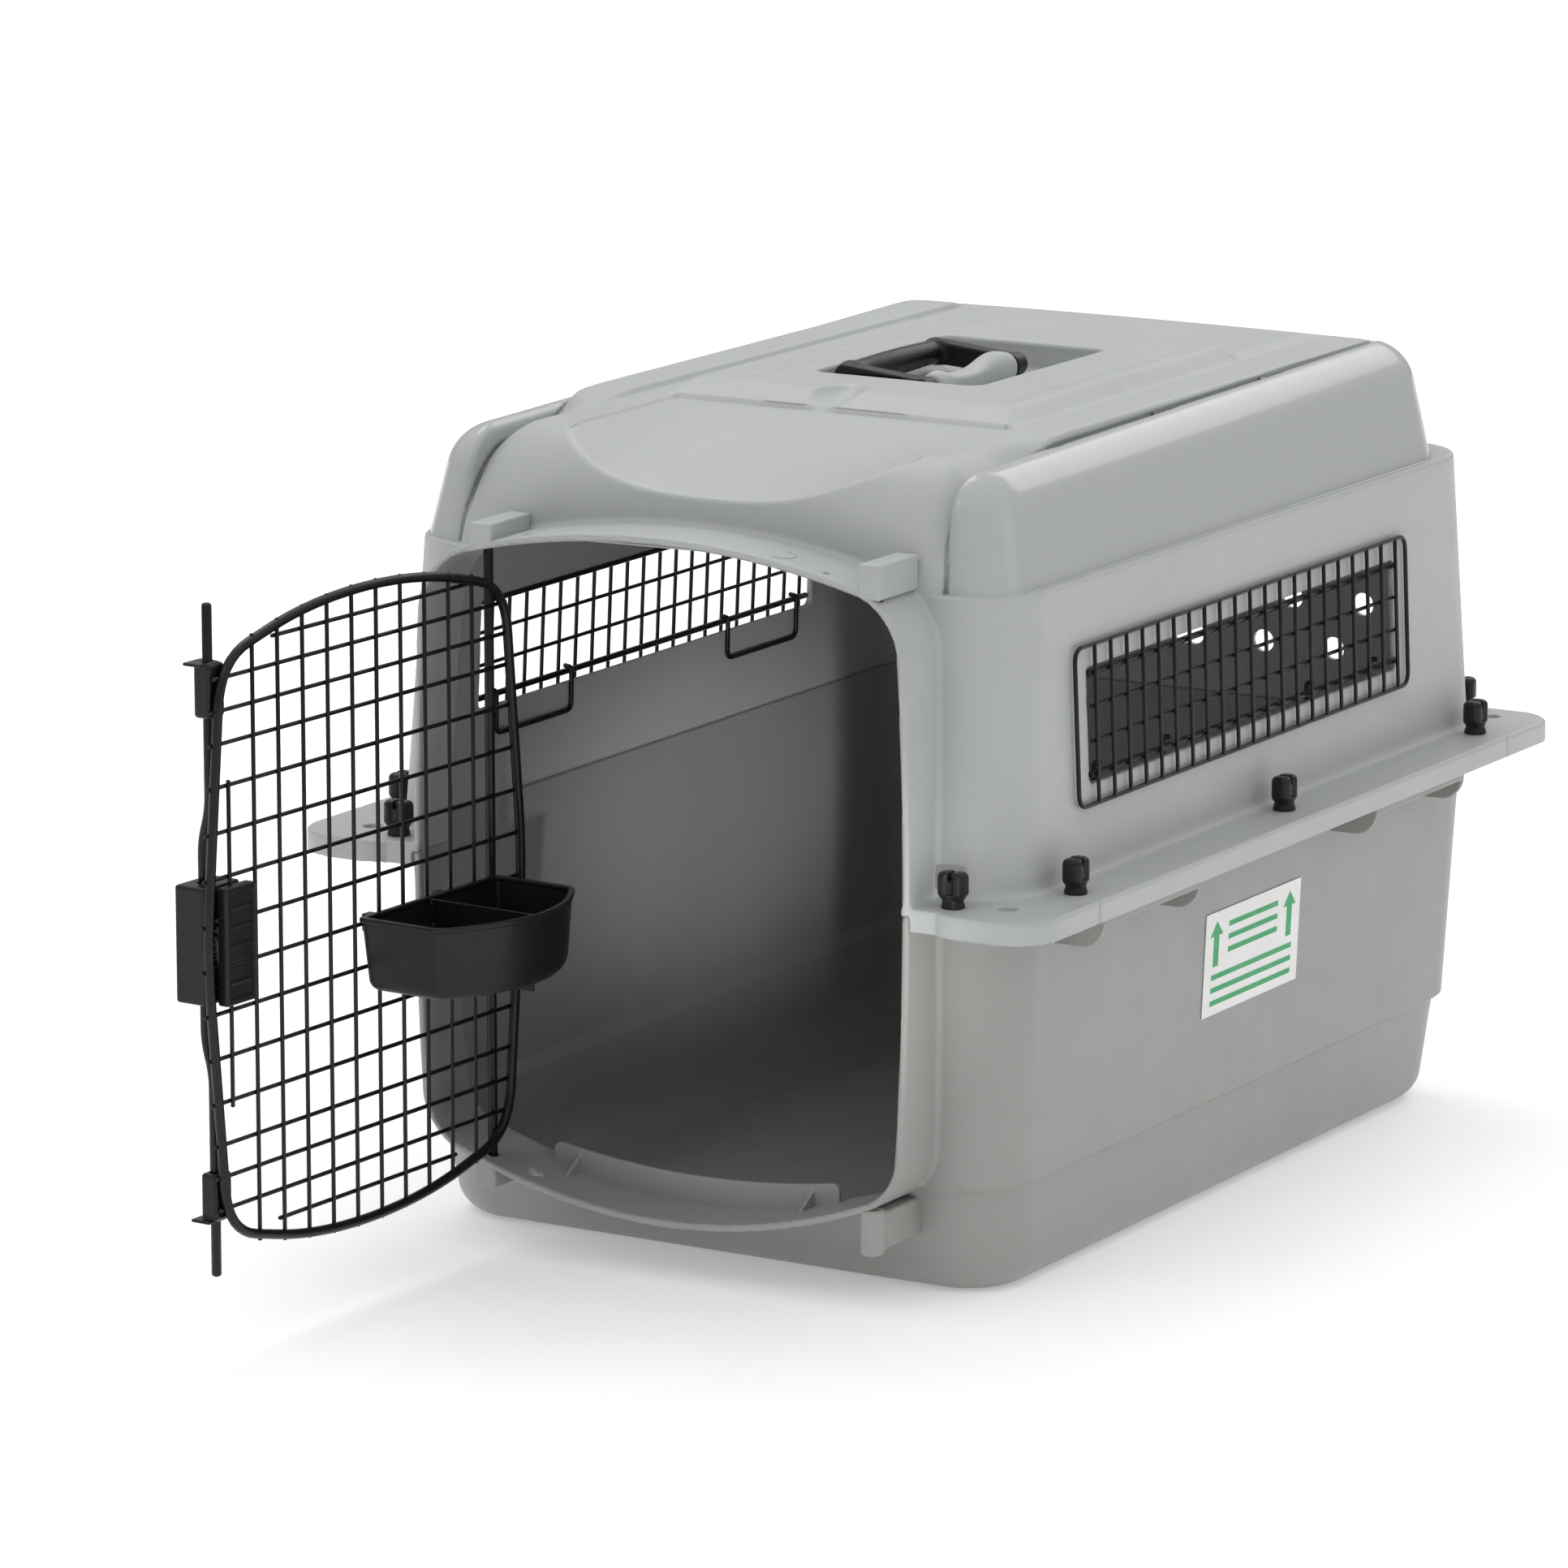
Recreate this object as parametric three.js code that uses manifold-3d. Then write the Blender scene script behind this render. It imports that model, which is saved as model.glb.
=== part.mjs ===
// A two-shell plastic pet transport carrier with a wire door, side vent grilles, a folding
// carry handle, a spring squeeze latch and a hang-on food cup.
// Units are millimetres. +Z is up, the door faces -Y, +X is the carrier's right as the door is
// seen from outside. The origin is on the floor, under the middle of the base.
import * as THREE from "three";
import { mergeVertices } from "three/addons/utils/BufferGeometryUtils.js";
import Module from "manifold-3d";

const wasm = await Module();
wasm.setup();

// ---------------------------------------------------------------- driving dimensions
const WIDTH = 521; // across the flanges
const FLANGE_TOP = 250; // height of the seam flange's upper face
const WALL = 3.5; // thickness of both shells
const GAP = 0.3; // clearance between pieces that touch

// Outer sections of the two shells: half width, front face, back face and corner radius by height.
const BASE_SECTIONS = [
  { z: 0, x: 184, front: -268, back: 290, r: 38 },
  { z: 5, x: 195, front: -281, back: 303, r: 42 },
  { z: 20, x: 201.5, front: -292, back: 312, r: 45 },
  { z: 67, x: 205, front: -302, back: 320, r: 46 },
  { z: 70, x: 210, front: -307, back: 324, r: 47 },
  { z: 242, x: 218, front: -316, back: 331, r: 48 },
];
const TOP_SECTIONS = [
  { z: 246, x: 221, front: -319, back: 334, r: 48 },
  { z: 427, x: 213, front: -306, back: 323, r: 46 },
  { z: 430, x: 205, front: -304, back: 320, r: 46 },
  { z: 466, x: 201, front: -288, back: 312, r: 48 },
  { z: 486, x: 190, front: -266, back: 296, r: 54 },
  { z: 498, x: 172, front: -232, back: 285, r: 56 },
  { z: 502, x: 160, front: -204, back: 270, r: 54 },
];
const ROOF = 502; // height of the rails beside the deck
const DECK = { top: 510, x: 112, front: -115, back: 145, slope: 12 };
const WELL = { x0: -60, x1: 57, y0: -64, y1: 99, floor: 494 };

// The flanges where the shells are bolted together.
const SKIRT_BOTTOM = 236;
const FLANGE = { front: -351, back: 350, r: 40, ear: { inner: 178, reach: 356 } };
const TOP_PLATE = 5;
const LOWER_PLATE = { z0: 240.4, z1: 244.6 };
const SEAM = 244.8; // where the door collar is parted between the shells
const BOLTS = {
  side: [-264, 5, 275].flatMap((y) => [[237.6, y], [-237.6, y]]),
  ends: [[194, -334], [-194, -334], [196, 341], [-196, 341]],
};
const EAR_HOLES = [[222, -320], [-222, -320], [222, 330], [-222, 330]];
const EAR_HOLE_R = 6;
// Two lift grips on each side: end ribs under the flange, and a lip that hangs between them.
const GRIPS = [{ y0: -250, y1: -129 }, { y0: 110, y1: 233 }];
const GRIP_X = 250;
const RIB_BOTTOM = 214.5;
const LIP_BOTTOM = 228;

// The doorway and the collar round it, as arched outlines in X and Z.
const DOORWAY = { top: 450, topCorner: 431, bottom: 38, bottomCorner: 66, x: 164, bulge: 168.5 };
const COLLAR = { front: -350, thick: 4.5 };
const SILL_LIP = { y0: -313, y1: -310, halfWidth: 116, rise: 5 };

// Door: its own axes are u (from the hinge rod to the latch), w (out of its inner face) and z.
const HINGE = { x: -125, y: -338, openAngle: 93 };
const DOOR = { centre: 130, z0: 49.5, z1: 433, halfTop: 140, halfMid: 156, midZ: 241 };
const DOOR_W = { wires: 3.4, frame: 4.6 };
const WIRE = 2.6;
const FRAME_R = 3;
const ROD_R = 3;
const WIRE_PITCH = 24;
const ROW_HEIGHTS = [13.3, 40, 66.8, 93.5, 118.7, 138.1, 157.2].flatMap((d) => [243 - d, 243 + d]);
const ROW_OVERHANG = 3; // past the frame on the latch side
const SHORT_ROWS = [{ z: 417, u0: 14, u1: 218 }, { z: 68.5, u0: 44, u1: 218 }];
const LATCH = { u: 270, rodW: -4.6, boxW: -10, tipTop: 442.4, tipBottom: 45.6 };
const HOUSING = { u0: 250, u1: 284, w0: -20.6, w1: 1.6, z0: 209, z1: 279, wall: 3 };
const CUP = { u0: 2, u1: 140, back: 5.4, side: 62, front: 88, rim: 235, bottom: 195, wall: 2.2 };
const HOOKS_U = [56, 126];
const HOOK_ROW = 229.7;

// Handle: it turns about a line along Y in the boss that stands in the roof well.
const PIVOT = { x: 15, z: 503, r: 3 };
const BOSS = { y0: -46, y1: 49, r: 8.5 };
const ARMS = [{ y0: -61, y1: -49 }, { y0: 52, y1: 64 }];
const GRIP = { x: -40, z: 507.5, r: 8.5 };

// Side vents, in a plane that leans with the wall.
const VENT = { y: -11.5, z: 340.6, halfY: 219.5, halfZ: 48, firstBar: -196, pitch: 20, count: 21 };
const WINDOW = { y0: -212, y1: 196, z0: 304, z1: 374 };
const HOLE_ROWS = [{ z: 287, xs: [-104, -52, 0, 52, 104] }, { z: 321, xs: [-130, -78, -26, 26, 78, 130] },
  { z: 355, xs: [-104, -52, 0, 52, 104] }];
const HOLE_R = 8.5;
const LABEL = { y: 8, z: 159, width: 127, height: 66, thick: 0.4 };

// ---------------------------------------------------------------- materials
const plastic = (color, roughness) => new THREE.MeshStandardMaterial({ color, roughness, metalness: 0 });
const topGrey = plastic(0xb9bdbb, 0.45);
const baseGrey = plastic(0x9b9b98, 0.5);
const blackPlastic = plastic(0x1c1c1e, 0.45);
const labelWhite = plastic(0xf2f3f2, 0.5);
const coatedWire = new THREE.MeshStandardMaterial({ color: 0x1a1716, roughness: 0.35, metalness: 0.3 });
const zincSteel = new THREE.MeshStandardMaterial({ color: 0x9a9a98, roughness: 0.35, metalness: 0.9 });

// ---------------------------------------------------------------- solids
function solid(geometry) {
  const bare = geometry.clone();
  bare.deleteAttribute("normal");
  bare.deleteAttribute("uv");
  const merged = mergeVertices(bare, 1e-4);
  const mesh = new wasm.Mesh({
    numProp: 3,
    vertProperties: merged.attributes.position.array,
    triVerts: new Uint32Array(merged.index.array),
  });
  return new wasm.Manifold(mesh);
}

function geometryOf(body) {
  const mesh = body.getMesh();
  const count = mesh.vertProperties.length / mesh.numProp;
  const positions = new Float32Array(count * 3);
  for (let i = 0; i < count; i++) {
    positions.set(mesh.vertProperties.subarray(i * mesh.numProp, i * mesh.numProp + 3), i * 3);
  }
  const geometry = new THREE.BufferGeometry();
  geometry.setAttribute("position", new THREE.BufferAttribute(positions, 3));
  geometry.setIndex(new THREE.BufferAttribute(new Uint32Array(mesh.triVerts), 1));
  geometry.computeVertexNormals();
  return geometry;
}

const join = (...bodies) => bodies.flat().reduce((a, b) => a.add(b));
const cut = (body, ...tools) => tools.flat().reduce((a, b) => a.subtract(b), body);

function box(x0, x1, y0, y1, z0, z1) {
  const geometry = new THREE.BoxGeometry(x1 - x0, y1 - y0, z1 - z0);
  return solid(geometry.translate((x0 + x1) / 2, (y0 + y1) / 2, (z0 + z1) / 2));
}

// A cylinder along "x", "y" or "z" between two stations, centred on the other two coordinates.
function rod(axis, from, to, centre, r, sides = 12) {
  const geometry = new THREE.CylinderGeometry(r, r, to - from, sides).translate(0, (from + to) / 2, 0);
  if (axis === "x") geometry.rotateZ(-Math.PI / 2);
  if (axis === "z") geometry.rotateX(Math.PI / 2);
  const [a, b] = centre;
  if (axis === "x") geometry.translate(0, a, b);
  if (axis === "y") geometry.translate(a, 0, b);
  if (axis === "z") geometry.translate(a, b, 0);
  return solid(geometry);
}

// An outline in X and Y raised from z0 to z1.
function prism(shape, z0, z1, curveSegments = 6) {
  const geometry = new THREE.ExtrudeGeometry(shape, { depth: z1 - z0, bevelEnabled: false, curveSegments });
  return solid(geometry.translate(0, 0, z0));
}

// An outline in X and Z pushed from y0 to y1.
function upright(shape, y0, y1, curveSegments = 5) {
  const geometry = new THREE.ExtrudeGeometry(shape, { depth: y1 - y0, bevelEnabled: false, curveSegments });
  return solid(geometry.rotateX(Math.PI / 2).translate(0, y1, 0));
}

function roundedRect(x0, x1, y0, y1, r) {
  const shape = new THREE.Shape();
  shape.absarc(x1 - r, y1 - r, r, 0, Math.PI / 2);
  shape.absarc(x0 + r, y1 - r, r, Math.PI / 2, Math.PI);
  shape.absarc(x0 + r, y0 + r, r, Math.PI, 1.5 * Math.PI);
  shape.absarc(x1 - r, y0 + r, r, 1.5 * Math.PI, 2 * Math.PI);
  return shape;
}

// A closed body through a stack of rings, each an array of the same number of points.
function skin(rings) {
  const n = rings[0].length;
  const positions = rings.flat().flatMap((p) => [p.x, p.y, p.z]);
  const index = [];
  for (let k = 0; k + 1 < rings.length; k++) {
    for (let i = 0; i < n; i++) {
      const [a, b] = [k * n + i, k * n + ((i + 1) % n)];
      index.push(a, b, b + n, a, b + n, a + n);
    }
  }
  const last = (rings.length - 1) * n;
  for (let i = 1; i + 1 < n; i++) {
    index.push(0, i + 1, i);
    index.push(last, last + i, last + i + 1);
  }
  const geometry = new THREE.BufferGeometry();
  geometry.setAttribute("position", new THREE.Float32BufferAttribute(positions, 3));
  geometry.setIndex(index);
  return solid(geometry);
}

function sectionRing({ z, x, front, back, r }, inset = 0, steps = 4) {
  const centres = [[x - r, back - r], [r - x, back - r], [r - x, front + r], [x - r, front + r]];
  const radius = r - inset;
  return centres.flatMap(([cx, cy], corner) =>
    Array.from({ length: steps + 1 }, (_, k) => {
      const angle = (corner + k / steps) * (Math.PI / 2);
      return new THREE.Vector3(cx + radius * Math.cos(angle), cy + radius * Math.sin(angle), z);
    }),
  );
}

const loft = (sections, inset = 0) => skin(sections.map((s) => sectionRing(s, inset)));

// A wire of round section along a run of points, with smooth bends.
function wire(points, r, sides = 6, steps = 12) {
  const path = new THREE.CatmullRomCurve3(points.map((p) => new THREE.Vector3(...p)), false, "centripetal");
  const section = new THREE.Shape();
  section.absarc(0, 0, r, 0, 2 * Math.PI);
  const options = { steps, extrudePath: path, curveSegments: sides };
  return solid(new THREE.ExtrudeGeometry(section, options));
}

// The arched outline of the doorway, grown by an amount.
function archShape(grow) {
  const side = DOORWAY.x + grow;
  const middle = 2 * (DOORWAY.bulge + grow) - side;
  const [top, bottom] = [DOORWAY.topCorner + grow, DOORWAY.bottomCorner - grow];
  const crown = 2 * (DOORWAY.top + grow) - top;
  const dip = 2 * (DOORWAY.bottom - grow) - bottom;
  const turn = 22;
  const shape = new THREE.Shape();
  shape.moveTo(side - turn, bottom);
  shape.quadraticCurveTo(side, bottom + 3, side, bottom + turn + 8);
  shape.quadraticCurveTo(middle, (top + bottom) / 2, side, top - turn - 8);
  shape.quadraticCurveTo(side, top - 3, side - turn, top);
  shape.quadraticCurveTo(0, crown, turn - side, top);
  shape.quadraticCurveTo(-side, top - 3, -side, top - turn - 8);
  shape.quadraticCurveTo(-middle, (top + bottom) / 2, -side, bottom + turn + 8);
  shape.quadraticCurveTo(-side, bottom + 3, turn - side, bottom);
  shape.quadraticCurveTo(0, dip, side - turn, bottom);
  return shape;
}

// ---------------------------------------------------------------- shells
const below = (z) => box(-400, 400, -500, 500, -10, z);
const above = (z) => box(-400, 400, -500, 500, z, 600);

function flangeOutline(inset) {
  const half = WIDTH / 2 - inset;
  const { front, back, r, ear } = FLANGE;
  const main = prism(roundedRect(-half, half, front + inset, back - inset, r - inset), 0, 20, 3);
  const reach = ear.reach - inset;
  const ears = [1, -1].flatMap((side) =>
    [-1, 1].map((end) => {
      const x = [ear.inner + inset, half].map((v) => v * side).sort((a, b) => a - b);
      const y = [200, reach].map((v) => v * end).sort((a, b) => a - b);
      return prism(roundedRect(x[0], x[1], y[0], y[1], 30), 0, 20, 3);
    }),
  );
  return join(main, ears);
}

const slab = (outline, z0, z1) => outline.translate(0, 0, z0).intersect(below(z1));

function boltHoles() {
  const bolts = [...BOLTS.side, ...BOLTS.ends].map((p) => rod("z", 230, 255, p, 3.9, 6));
  return [...bolts, ...EAR_HOLES.map((p) => rod("z", 230, 255, p, EAR_HOLE_R, 10))];
}

// The collar that stands out round the doorway, from its front edge to inside the front wall.
function collar(wallDepth) {
  const ring = upright(archShape(COLLAR.thick), COLLAR.front, wallDepth);
  return cut(ring, upright(archShape(0), COLLAR.front - 5, wallDepth + 5));
}

// Hollow blocks above and below the doorway that take the ends of the hinge rod and latch rods.
const LATCH_X = HINGE.x + LATCH.u;
const ROD_BLOCKS = [
  { x: HINGE.x, y: HINGE.y, x0: -131, x1: -116, slot: false },
  { x: LATCH_X, y: HINGE.y + LATCH.rodW, x0: 138, x1: 153, slot: true },
];

function topBlocks() {
  return ROD_BLOCKS.map(({ x0, x1 }) => box(x0, x1, COLLAR.front, -280, 433, 450));
}

function bottomBlocks() {
  return ROD_BLOCKS.map(({ x0, x1 }) => box(x0, x1, COLLAR.front, -280, 41, 61));
}

// Each rod runs in a bore; the latch side is open to the front so the door can swing in.
function rodPockets(z0, z1) {
  return ROD_BLOCKS.flatMap(({ x, y, slot }) => {
    const bore = rod("z", z0, z1, [x, y], ROD_R + 0.6, 10);
    return slot ? [bore, box(x - 5, x + 5, COLLAR.front - 5, y + 4, z0, z1)] : [bore];
  });
}

function topShell() {
  const deckSections = [
    { z: ROOF - 4, x: DECK.x + DECK.slope + 3, front: DECK.front - 18, back: DECK.back + 14, r: 20 },
    { z: ROOF, x: DECK.x + DECK.slope, front: DECK.front - 14, back: DECK.back + 10, r: 16 },
    { z: DECK.top, x: DECK.x, front: DECK.front, back: DECK.back, r: 12 },
  ];
  const outer = join(loft(TOP_SECTIONS), loft(deckSections));
  const lining = TOP_SECTIONS.map((s) => ({ ...s, z: Math.min(s.z, ROOF) - (s.z > 430 ? WALL : 0) }));
  const inner = join(loft([{ ...lining[0], z: 200 }, ...lining.slice(0)], WALL),
    loft(deckSections.map((s) => ({ ...s, z: s.z - WALL })), WALL));
  const [wellX, wellY] = [[WELL.x0 - WALL, WELL.x1 + WALL], [WELL.y0 - WALL, WELL.y1 + WALL]];
  const wellBlock = box(...wellX, ...wellY, WELL.floor - WALL, DECK.top - 2);
  const outline = flangeOutline(0);
  const plate = slab(outline, FLANGE_TOP - TOP_PLATE, FLANGE_TOP);
  const skirt = cut(slab(outline, SKIRT_BOTTOM, FLANGE_TOP - 1),
    slab(flangeOutline(3), SKIRT_BOTTOM - 1, FLANGE_TOP - TOP_PLATE));
  const frontCollar = collar(-265).intersect(above(SEAM + GAP));
  let shell = join(outer, plate, skirt, frontCollar);
  shell = join(cut(shell, inner.intersect(above(200))), wellBlock);
  const well = prism(roundedRect(WELL.x0, WELL.x1, WELL.y0, WELL.y1, 6), WELL.floor, 520, 2);
  const boss = join(rod("y", BOSS.y0, BOSS.y1, [PIVOT.x, PIVOT.z], BOSS.r, 12),
    box(PIVOT.x - BOSS.r, PIVOT.x + BOSS.r, BOSS.y0, BOSS.y1, WELL.floor - 1, PIVOT.z));
  const sockets = [[BOSS.y0 - 1, BOSS.y0 + 14], [BOSS.y1 - 14, BOSS.y1 + 1]];
  shell = join(cut(shell, well), boss);
  const windows = [1, -1].map((side) => box(...[120, 240].map((v) => v * side).sort((a, b) => a - b),
    WINDOW.y0, WINDOW.y1, WINDOW.z0, WINDOW.z1));
  const backHoles = HOLE_ROWS.flatMap(({ z, xs }) => xs.map((x) => rod("y", 290, 360, [x, z], HOLE_R, 8)));
  const lowerCollarRoom = upright(archShape(COLLAR.thick + 0.5), COLLAR.front - 10, -300)
    .intersect(below(SEAM + GAP));
  return cut(join(cut(shell, upright(archShape(0), COLLAR.front - 10, -262)), topBlocks()),
    windows, backHoles, boltHoles(), rodPockets(400, 445.5), lowerCollarRoom,
    sockets.map(([a, b]) => rod("y", a, b, [PIVOT.x, PIVOT.z], PIVOT.r + 0.5, 10)));
}

function bottomShell() {
  const outer = loft(BASE_SECTIONS);
  const lining = BASE_SECTIONS.map((s) => ({ ...s, z: s.z + (s.z < 20 ? WALL : 0) }));
  const inner = loft([...lining, { ...lining[lining.length - 1], z: 260 }], WALL);
  const plate = slab(flangeOutline(3.5), LOWER_PLATE.z0, LOWER_PLATE.z1);
  const rim = loft([{ ...BASE_SECTIONS[5], z: 232 }, { ...BASE_SECTIONS[5], z: LOWER_PLATE.z1 }], 1);
  const frontCollar = collar(-265).intersect(below(LOWER_PLATE.z1));
  let shell = cut(join(outer, plate, rim, frontCollar), inner);
  const grooves = [-146, 146].map((x) => box(x - 12, x + 12, -400, 400, -1, 1.8));
  const lip = upright(archShape(1), SILL_LIP.y0, SILL_LIP.y1)
    .intersect(box(-SILL_LIP.halfWidth, SILL_LIP.halfWidth, -320, -300, 0, 89));
  const lipCut = upright(archShape(-SILL_LIP.rise), SILL_LIP.y0 - 1, SILL_LIP.y1 + 1);
  const grips = GRIPS.flatMap(({ y0, y1 }) => [1, -1].flatMap((side) => {
    const across = (a, b) => [a * side, b * side].sort((p, q) => p - q);
    const ribs = [y0, y1].map((y) => box(...across(206, GRIP_X), y - 1.5, y + 1.5, RIB_BOTTOM, 242));
    return [...ribs, box(...across(GRIP_X - 3, GRIP_X), y0, y1, LIP_BOTTOM, 242)];
  }));
  shell = join(shell, cut(join(grips), inner));
  shell = cut(shell, grooves, boltHoles(), upright(archShape(0), COLLAR.front - 10, -262));
  return cut(join(shell, cut(lip, lipCut), bottomBlocks().map((b) => cut(b, inner))), rodPockets(43.5, 80));
}

// ---------------------------------------------------------------- wire door
// Half width of the door frame at a height, about the door's centre line.
function doorHalfWidth(z) {
  const reach = (z > DOOR.midZ ? DOOR.z1 - 22 : DOOR.z0 + 22) - DOOR.midZ;
  const t = Math.min(Math.abs((z - DOOR.midZ) / reach), 1);
  return DOOR.halfMid + (DOOR.halfTop - DOOR.halfMid) * t;
}

// Height of the arched top or bottom of the door frame at a distance along the door.
function doorEdge(u, top) {
  const t = (u - DOOR.centre) / DOOR.halfTop;
  return top ? DOOR.z1 - 22 * t * t : DOOR.z0 + 22 * t * t;
}

function doorFrame() {
  const points = [];
  const arch = [-0.86, -0.45, 0, 0.45, 0.86];
  const straight = [395, 319, 271, DOOR.midZ, 211, 163, 87];
  const along = (t) => DOOR.centre + t * DOOR.halfTop;
  arch.forEach((t) => points.push([along(t), doorEdge(along(t), true)]));
  straight.forEach((z) => points.push([DOOR.centre + doorHalfWidth(z), z]));
  arch.forEach((t) => points.push([along(-t), doorEdge(along(-t), false)]));
  [...straight].reverse().forEach((z) => points.push([DOOR.centre - doorHalfWidth(z), z]));
  const places = points.map(([u, z]) => new THREE.Vector3(u, DOOR_W.frame, z));
  const path = new THREE.CatmullRomCurve3(places, true);
  return solid(new THREE.TubeGeometry(path, 48, FRAME_R, 4, true));
}

function doorGrid() {
  const [w0, w1] = [DOOR_W.wires - WIRE / 2, DOOR_W.wires + WIRE / 2];
  const upWire = (u, z0, z1) => box(u - WIRE / 2, u + WIRE / 2, w0, w1, z0, z1);
  const row = (z, u0, u1) => box(u0, u1, w0, w1, z - WIRE / 2, z + WIRE / 2);
  const ups = Array.from({ length: 10 }, (_, k) => (k + 1) * WIRE_PITCH)
    .map((u) => upWire(u, doorEdge(u, false), doorEdge(u, true)));
  const rows = ROW_HEIGHTS.map((z) =>
    row(z, DOOR.centre - doorHalfWidth(z), DOOR.centre + doorHalfWidth(z) + ROW_OVERHANG));
  const shorts = SHORT_ROWS.map(({ z, u0, u1 }) => row(z, u0, u1));
  const shortUp = upWire(264, ROW_HEIGHTS[6], ROW_HEIGHTS[7]);
  const hingeRod = rod("z", 45, 444, [0, 0], ROD_R, 6);
  return join(doorFrame(), ups, rows, shorts, shortUp, hingeRod);
}

function rodGuide(z0, z1, up) {
  const { u, rodW } = LATCH;
  const sleeve = box(u - 9, u + 7, rodW - 5.5, 1.3, z0, z1);
  const flangeZ = up ? z1 : z0;
  const flange = box(u - 5, u + 12, rodW - 9, rodW + 4.2, flangeZ - 1, flangeZ + 1);
  return cut(join(sleeve, flange), rod("z", z0 - 5, z1 + 5, [u, rodW], ROD_R + GAP, 8));
}

function latchRod(up) {
  const { u, rodW, boxW } = LATCH;
  const [tip, bend, jog, end] = up ? [LATCH.tipTop, 322, 304, 262.5] : [LATCH.tipBottom, 166, 184, 225.5];
  const points = [[u, rodW, tip], [u, rodW, (tip + bend) / 2], [u, rodW, bend],
    [u, (rodW + boxW) / 2, (bend + jog) / 2], [u, boxW, jog], [u, boxW, (2 * jog + end) / 3],
    [u, boxW, (jog + 2 * end) / 3], [u, boxW, end]];
  return wire(points, ROD_R, 3, 12);
}

function latchHousing() {
  const { u0, u1, w0, w1, z0, z1, wall } = HOUSING;
  const hollow = box(u0 + wall, u1 - wall, w0 - 1, 0, z0 + wall, z1 - wall);
  const rodHoles = rod("z", z0 - 1, z1 + 1, [LATCH.u, LATCH.boxW], ROD_R + 0.5, 8);
  return cut(box(u0, u1, w0, w1, z0, z1), hollow, rodHoles);
}

const SLIDERS = { upper: [258, 271], lower: [217, 230] };
const SPRING = { u: 259, r: 3, wire: 0.5, turns: 5 };

function slider([z0, z1], boreFrom, boreTo, springHole) {
  const { u0, u1, w0, wall } = HOUSING;
  const block = box(u0 + wall + 0.6, u1 - wall - 0.6, w0 + 1, -0.6, z0, z1);
  const finger = box(u0 + 8, u1 - 8, w0 - 3, w0 + 2, z0 + 3, z1 - 3);
  const bore = rod("z", boreFrom, boreTo, [LATCH.u, LATCH.boxW], ROD_R + 0.5, 8);
  const body = cut(join(block, finger), bore);
  return springHole ? cut(body, rod("z", z0 - 1, z1 + 1, [SPRING.u, LATCH.boxW], 4.2, 10)) : body;
}

function latchSpring() {
  const [z0, z1] = [231, SLIDERS.upper[0] - GAP - SPRING.wire];
  const count = SPRING.turns * 6;
  const points = Array.from({ length: count + 1 }, (_, k) => {
    const angle = (k / 6) * 2 * Math.PI;
    return [SPRING.u + SPRING.r * Math.cos(angle), LATCH.boxW + SPRING.r * Math.sin(angle),
      z0 + ((z1 - z0) * k) / count];
  });
  return wire(points, SPRING.wire, 2, count);
}

// Plan outline of the food cup, pulled in by an amount.
function cupOutline(inset) {
  const { u0, u1, back, side, front } = CUP;
  const shape = new THREE.Shape();
  shape.moveTo(u0 + inset, back + inset);
  shape.lineTo(u1 - inset, back + inset);
  shape.lineTo(u1 - inset, side - inset / 2);
  shape.quadraticCurveTo((u0 + u1) / 2, 2 * front - side - 1.6 * inset, u0 + inset, side - inset / 2);
  return shape;
}

function foodCup() {
  const ring = (inset, z) => cupOutline(inset).getPoints(10).slice(0, -1)
    .map((p) => new THREE.Vector3(p.x, p.y, z));
  const { rim, bottom, wall, u0, u1 } = CUP;
  const outer = skin([ring(9, bottom), ring(4, bottom + 6), ring(0, rim)]);
  const inner = skin([ring(9 + wall, bottom + wall), ring(4 + wall, bottom + 7), ring(wall, rim + 1)]);
  const middle = (u0 + u1) / 2;
  const divider = box(middle - 1, middle + 1, CUP.back + 6, CUP.front - 8, bottom + 1, rim - 1);
  const hooks = HOOKS_U.map((u) => {
    const arm = box(u - 4, u + 4, -1.2, CUP.back + 1.5, HOOK_ROW + WIRE / 2 + GAP, rim - GAP);
    return join(arm, box(u - 4, u + 4, -1.2, 1.5, HOOK_ROW - 5.7, rim - GAP));
  });
  return join(cut(outer, inner), divider.intersect(outer), hooks);
}

// ---------------------------------------------------------------- handle
function handle() {
  const grip = new THREE.CylinderGeometry(GRIP.r, GRIP.r, ARMS[1].y1 - ARMS[0].y0, 12);
  grip.translate(0, (ARMS[0].y0 + ARMS[1].y1) / 2, 0).translate(GRIP.x, 0, GRIP.z);
  const arm = new THREE.Shape();
  arm.moveTo(GRIP.x - 4, GRIP.z + 7);
  arm.lineTo(PIVOT.x, PIVOT.z + 7);
  arm.absarc(PIVOT.x, PIVOT.z, 7, Math.PI / 2, -Math.PI / 2, true);
  arm.lineTo(GRIP.x - 4, GRIP.z - 7);
  const arms = ARMS.map(({ y0, y1 }) => upright(arm, y0, y1, 4));
  const holes = ARMS.map(({ y0, y1 }) => rod("y", y0 - 1, y1 + 1, [PIVOT.x, PIVOT.z], PIVOT.r + GAP, 10));
  return cut(join(solid(grip), arms), holes);
}

// A headed pivot pin: its head outside the arm, its shank through the arm and into the boss.
function pivotPin(front) {
  const { y0, y1 } = front ? ARMS[0] : ARMS[1];
  const [a, b] = front ? [y0 - GAP, BOSS.y0 + 12] : [BOSS.y1 - 12, y1 + GAP];
  const head = front ? [y0 - 2.3, y0 - GAP] : [y1 + GAP, y1 + 2.3];
  const centre = [PIVOT.x, PIVOT.z];
  return join(rod("y", a, b, centre, PIVOT.r, 10), rod("y", ...head, centre, 5, 10));
}

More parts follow.
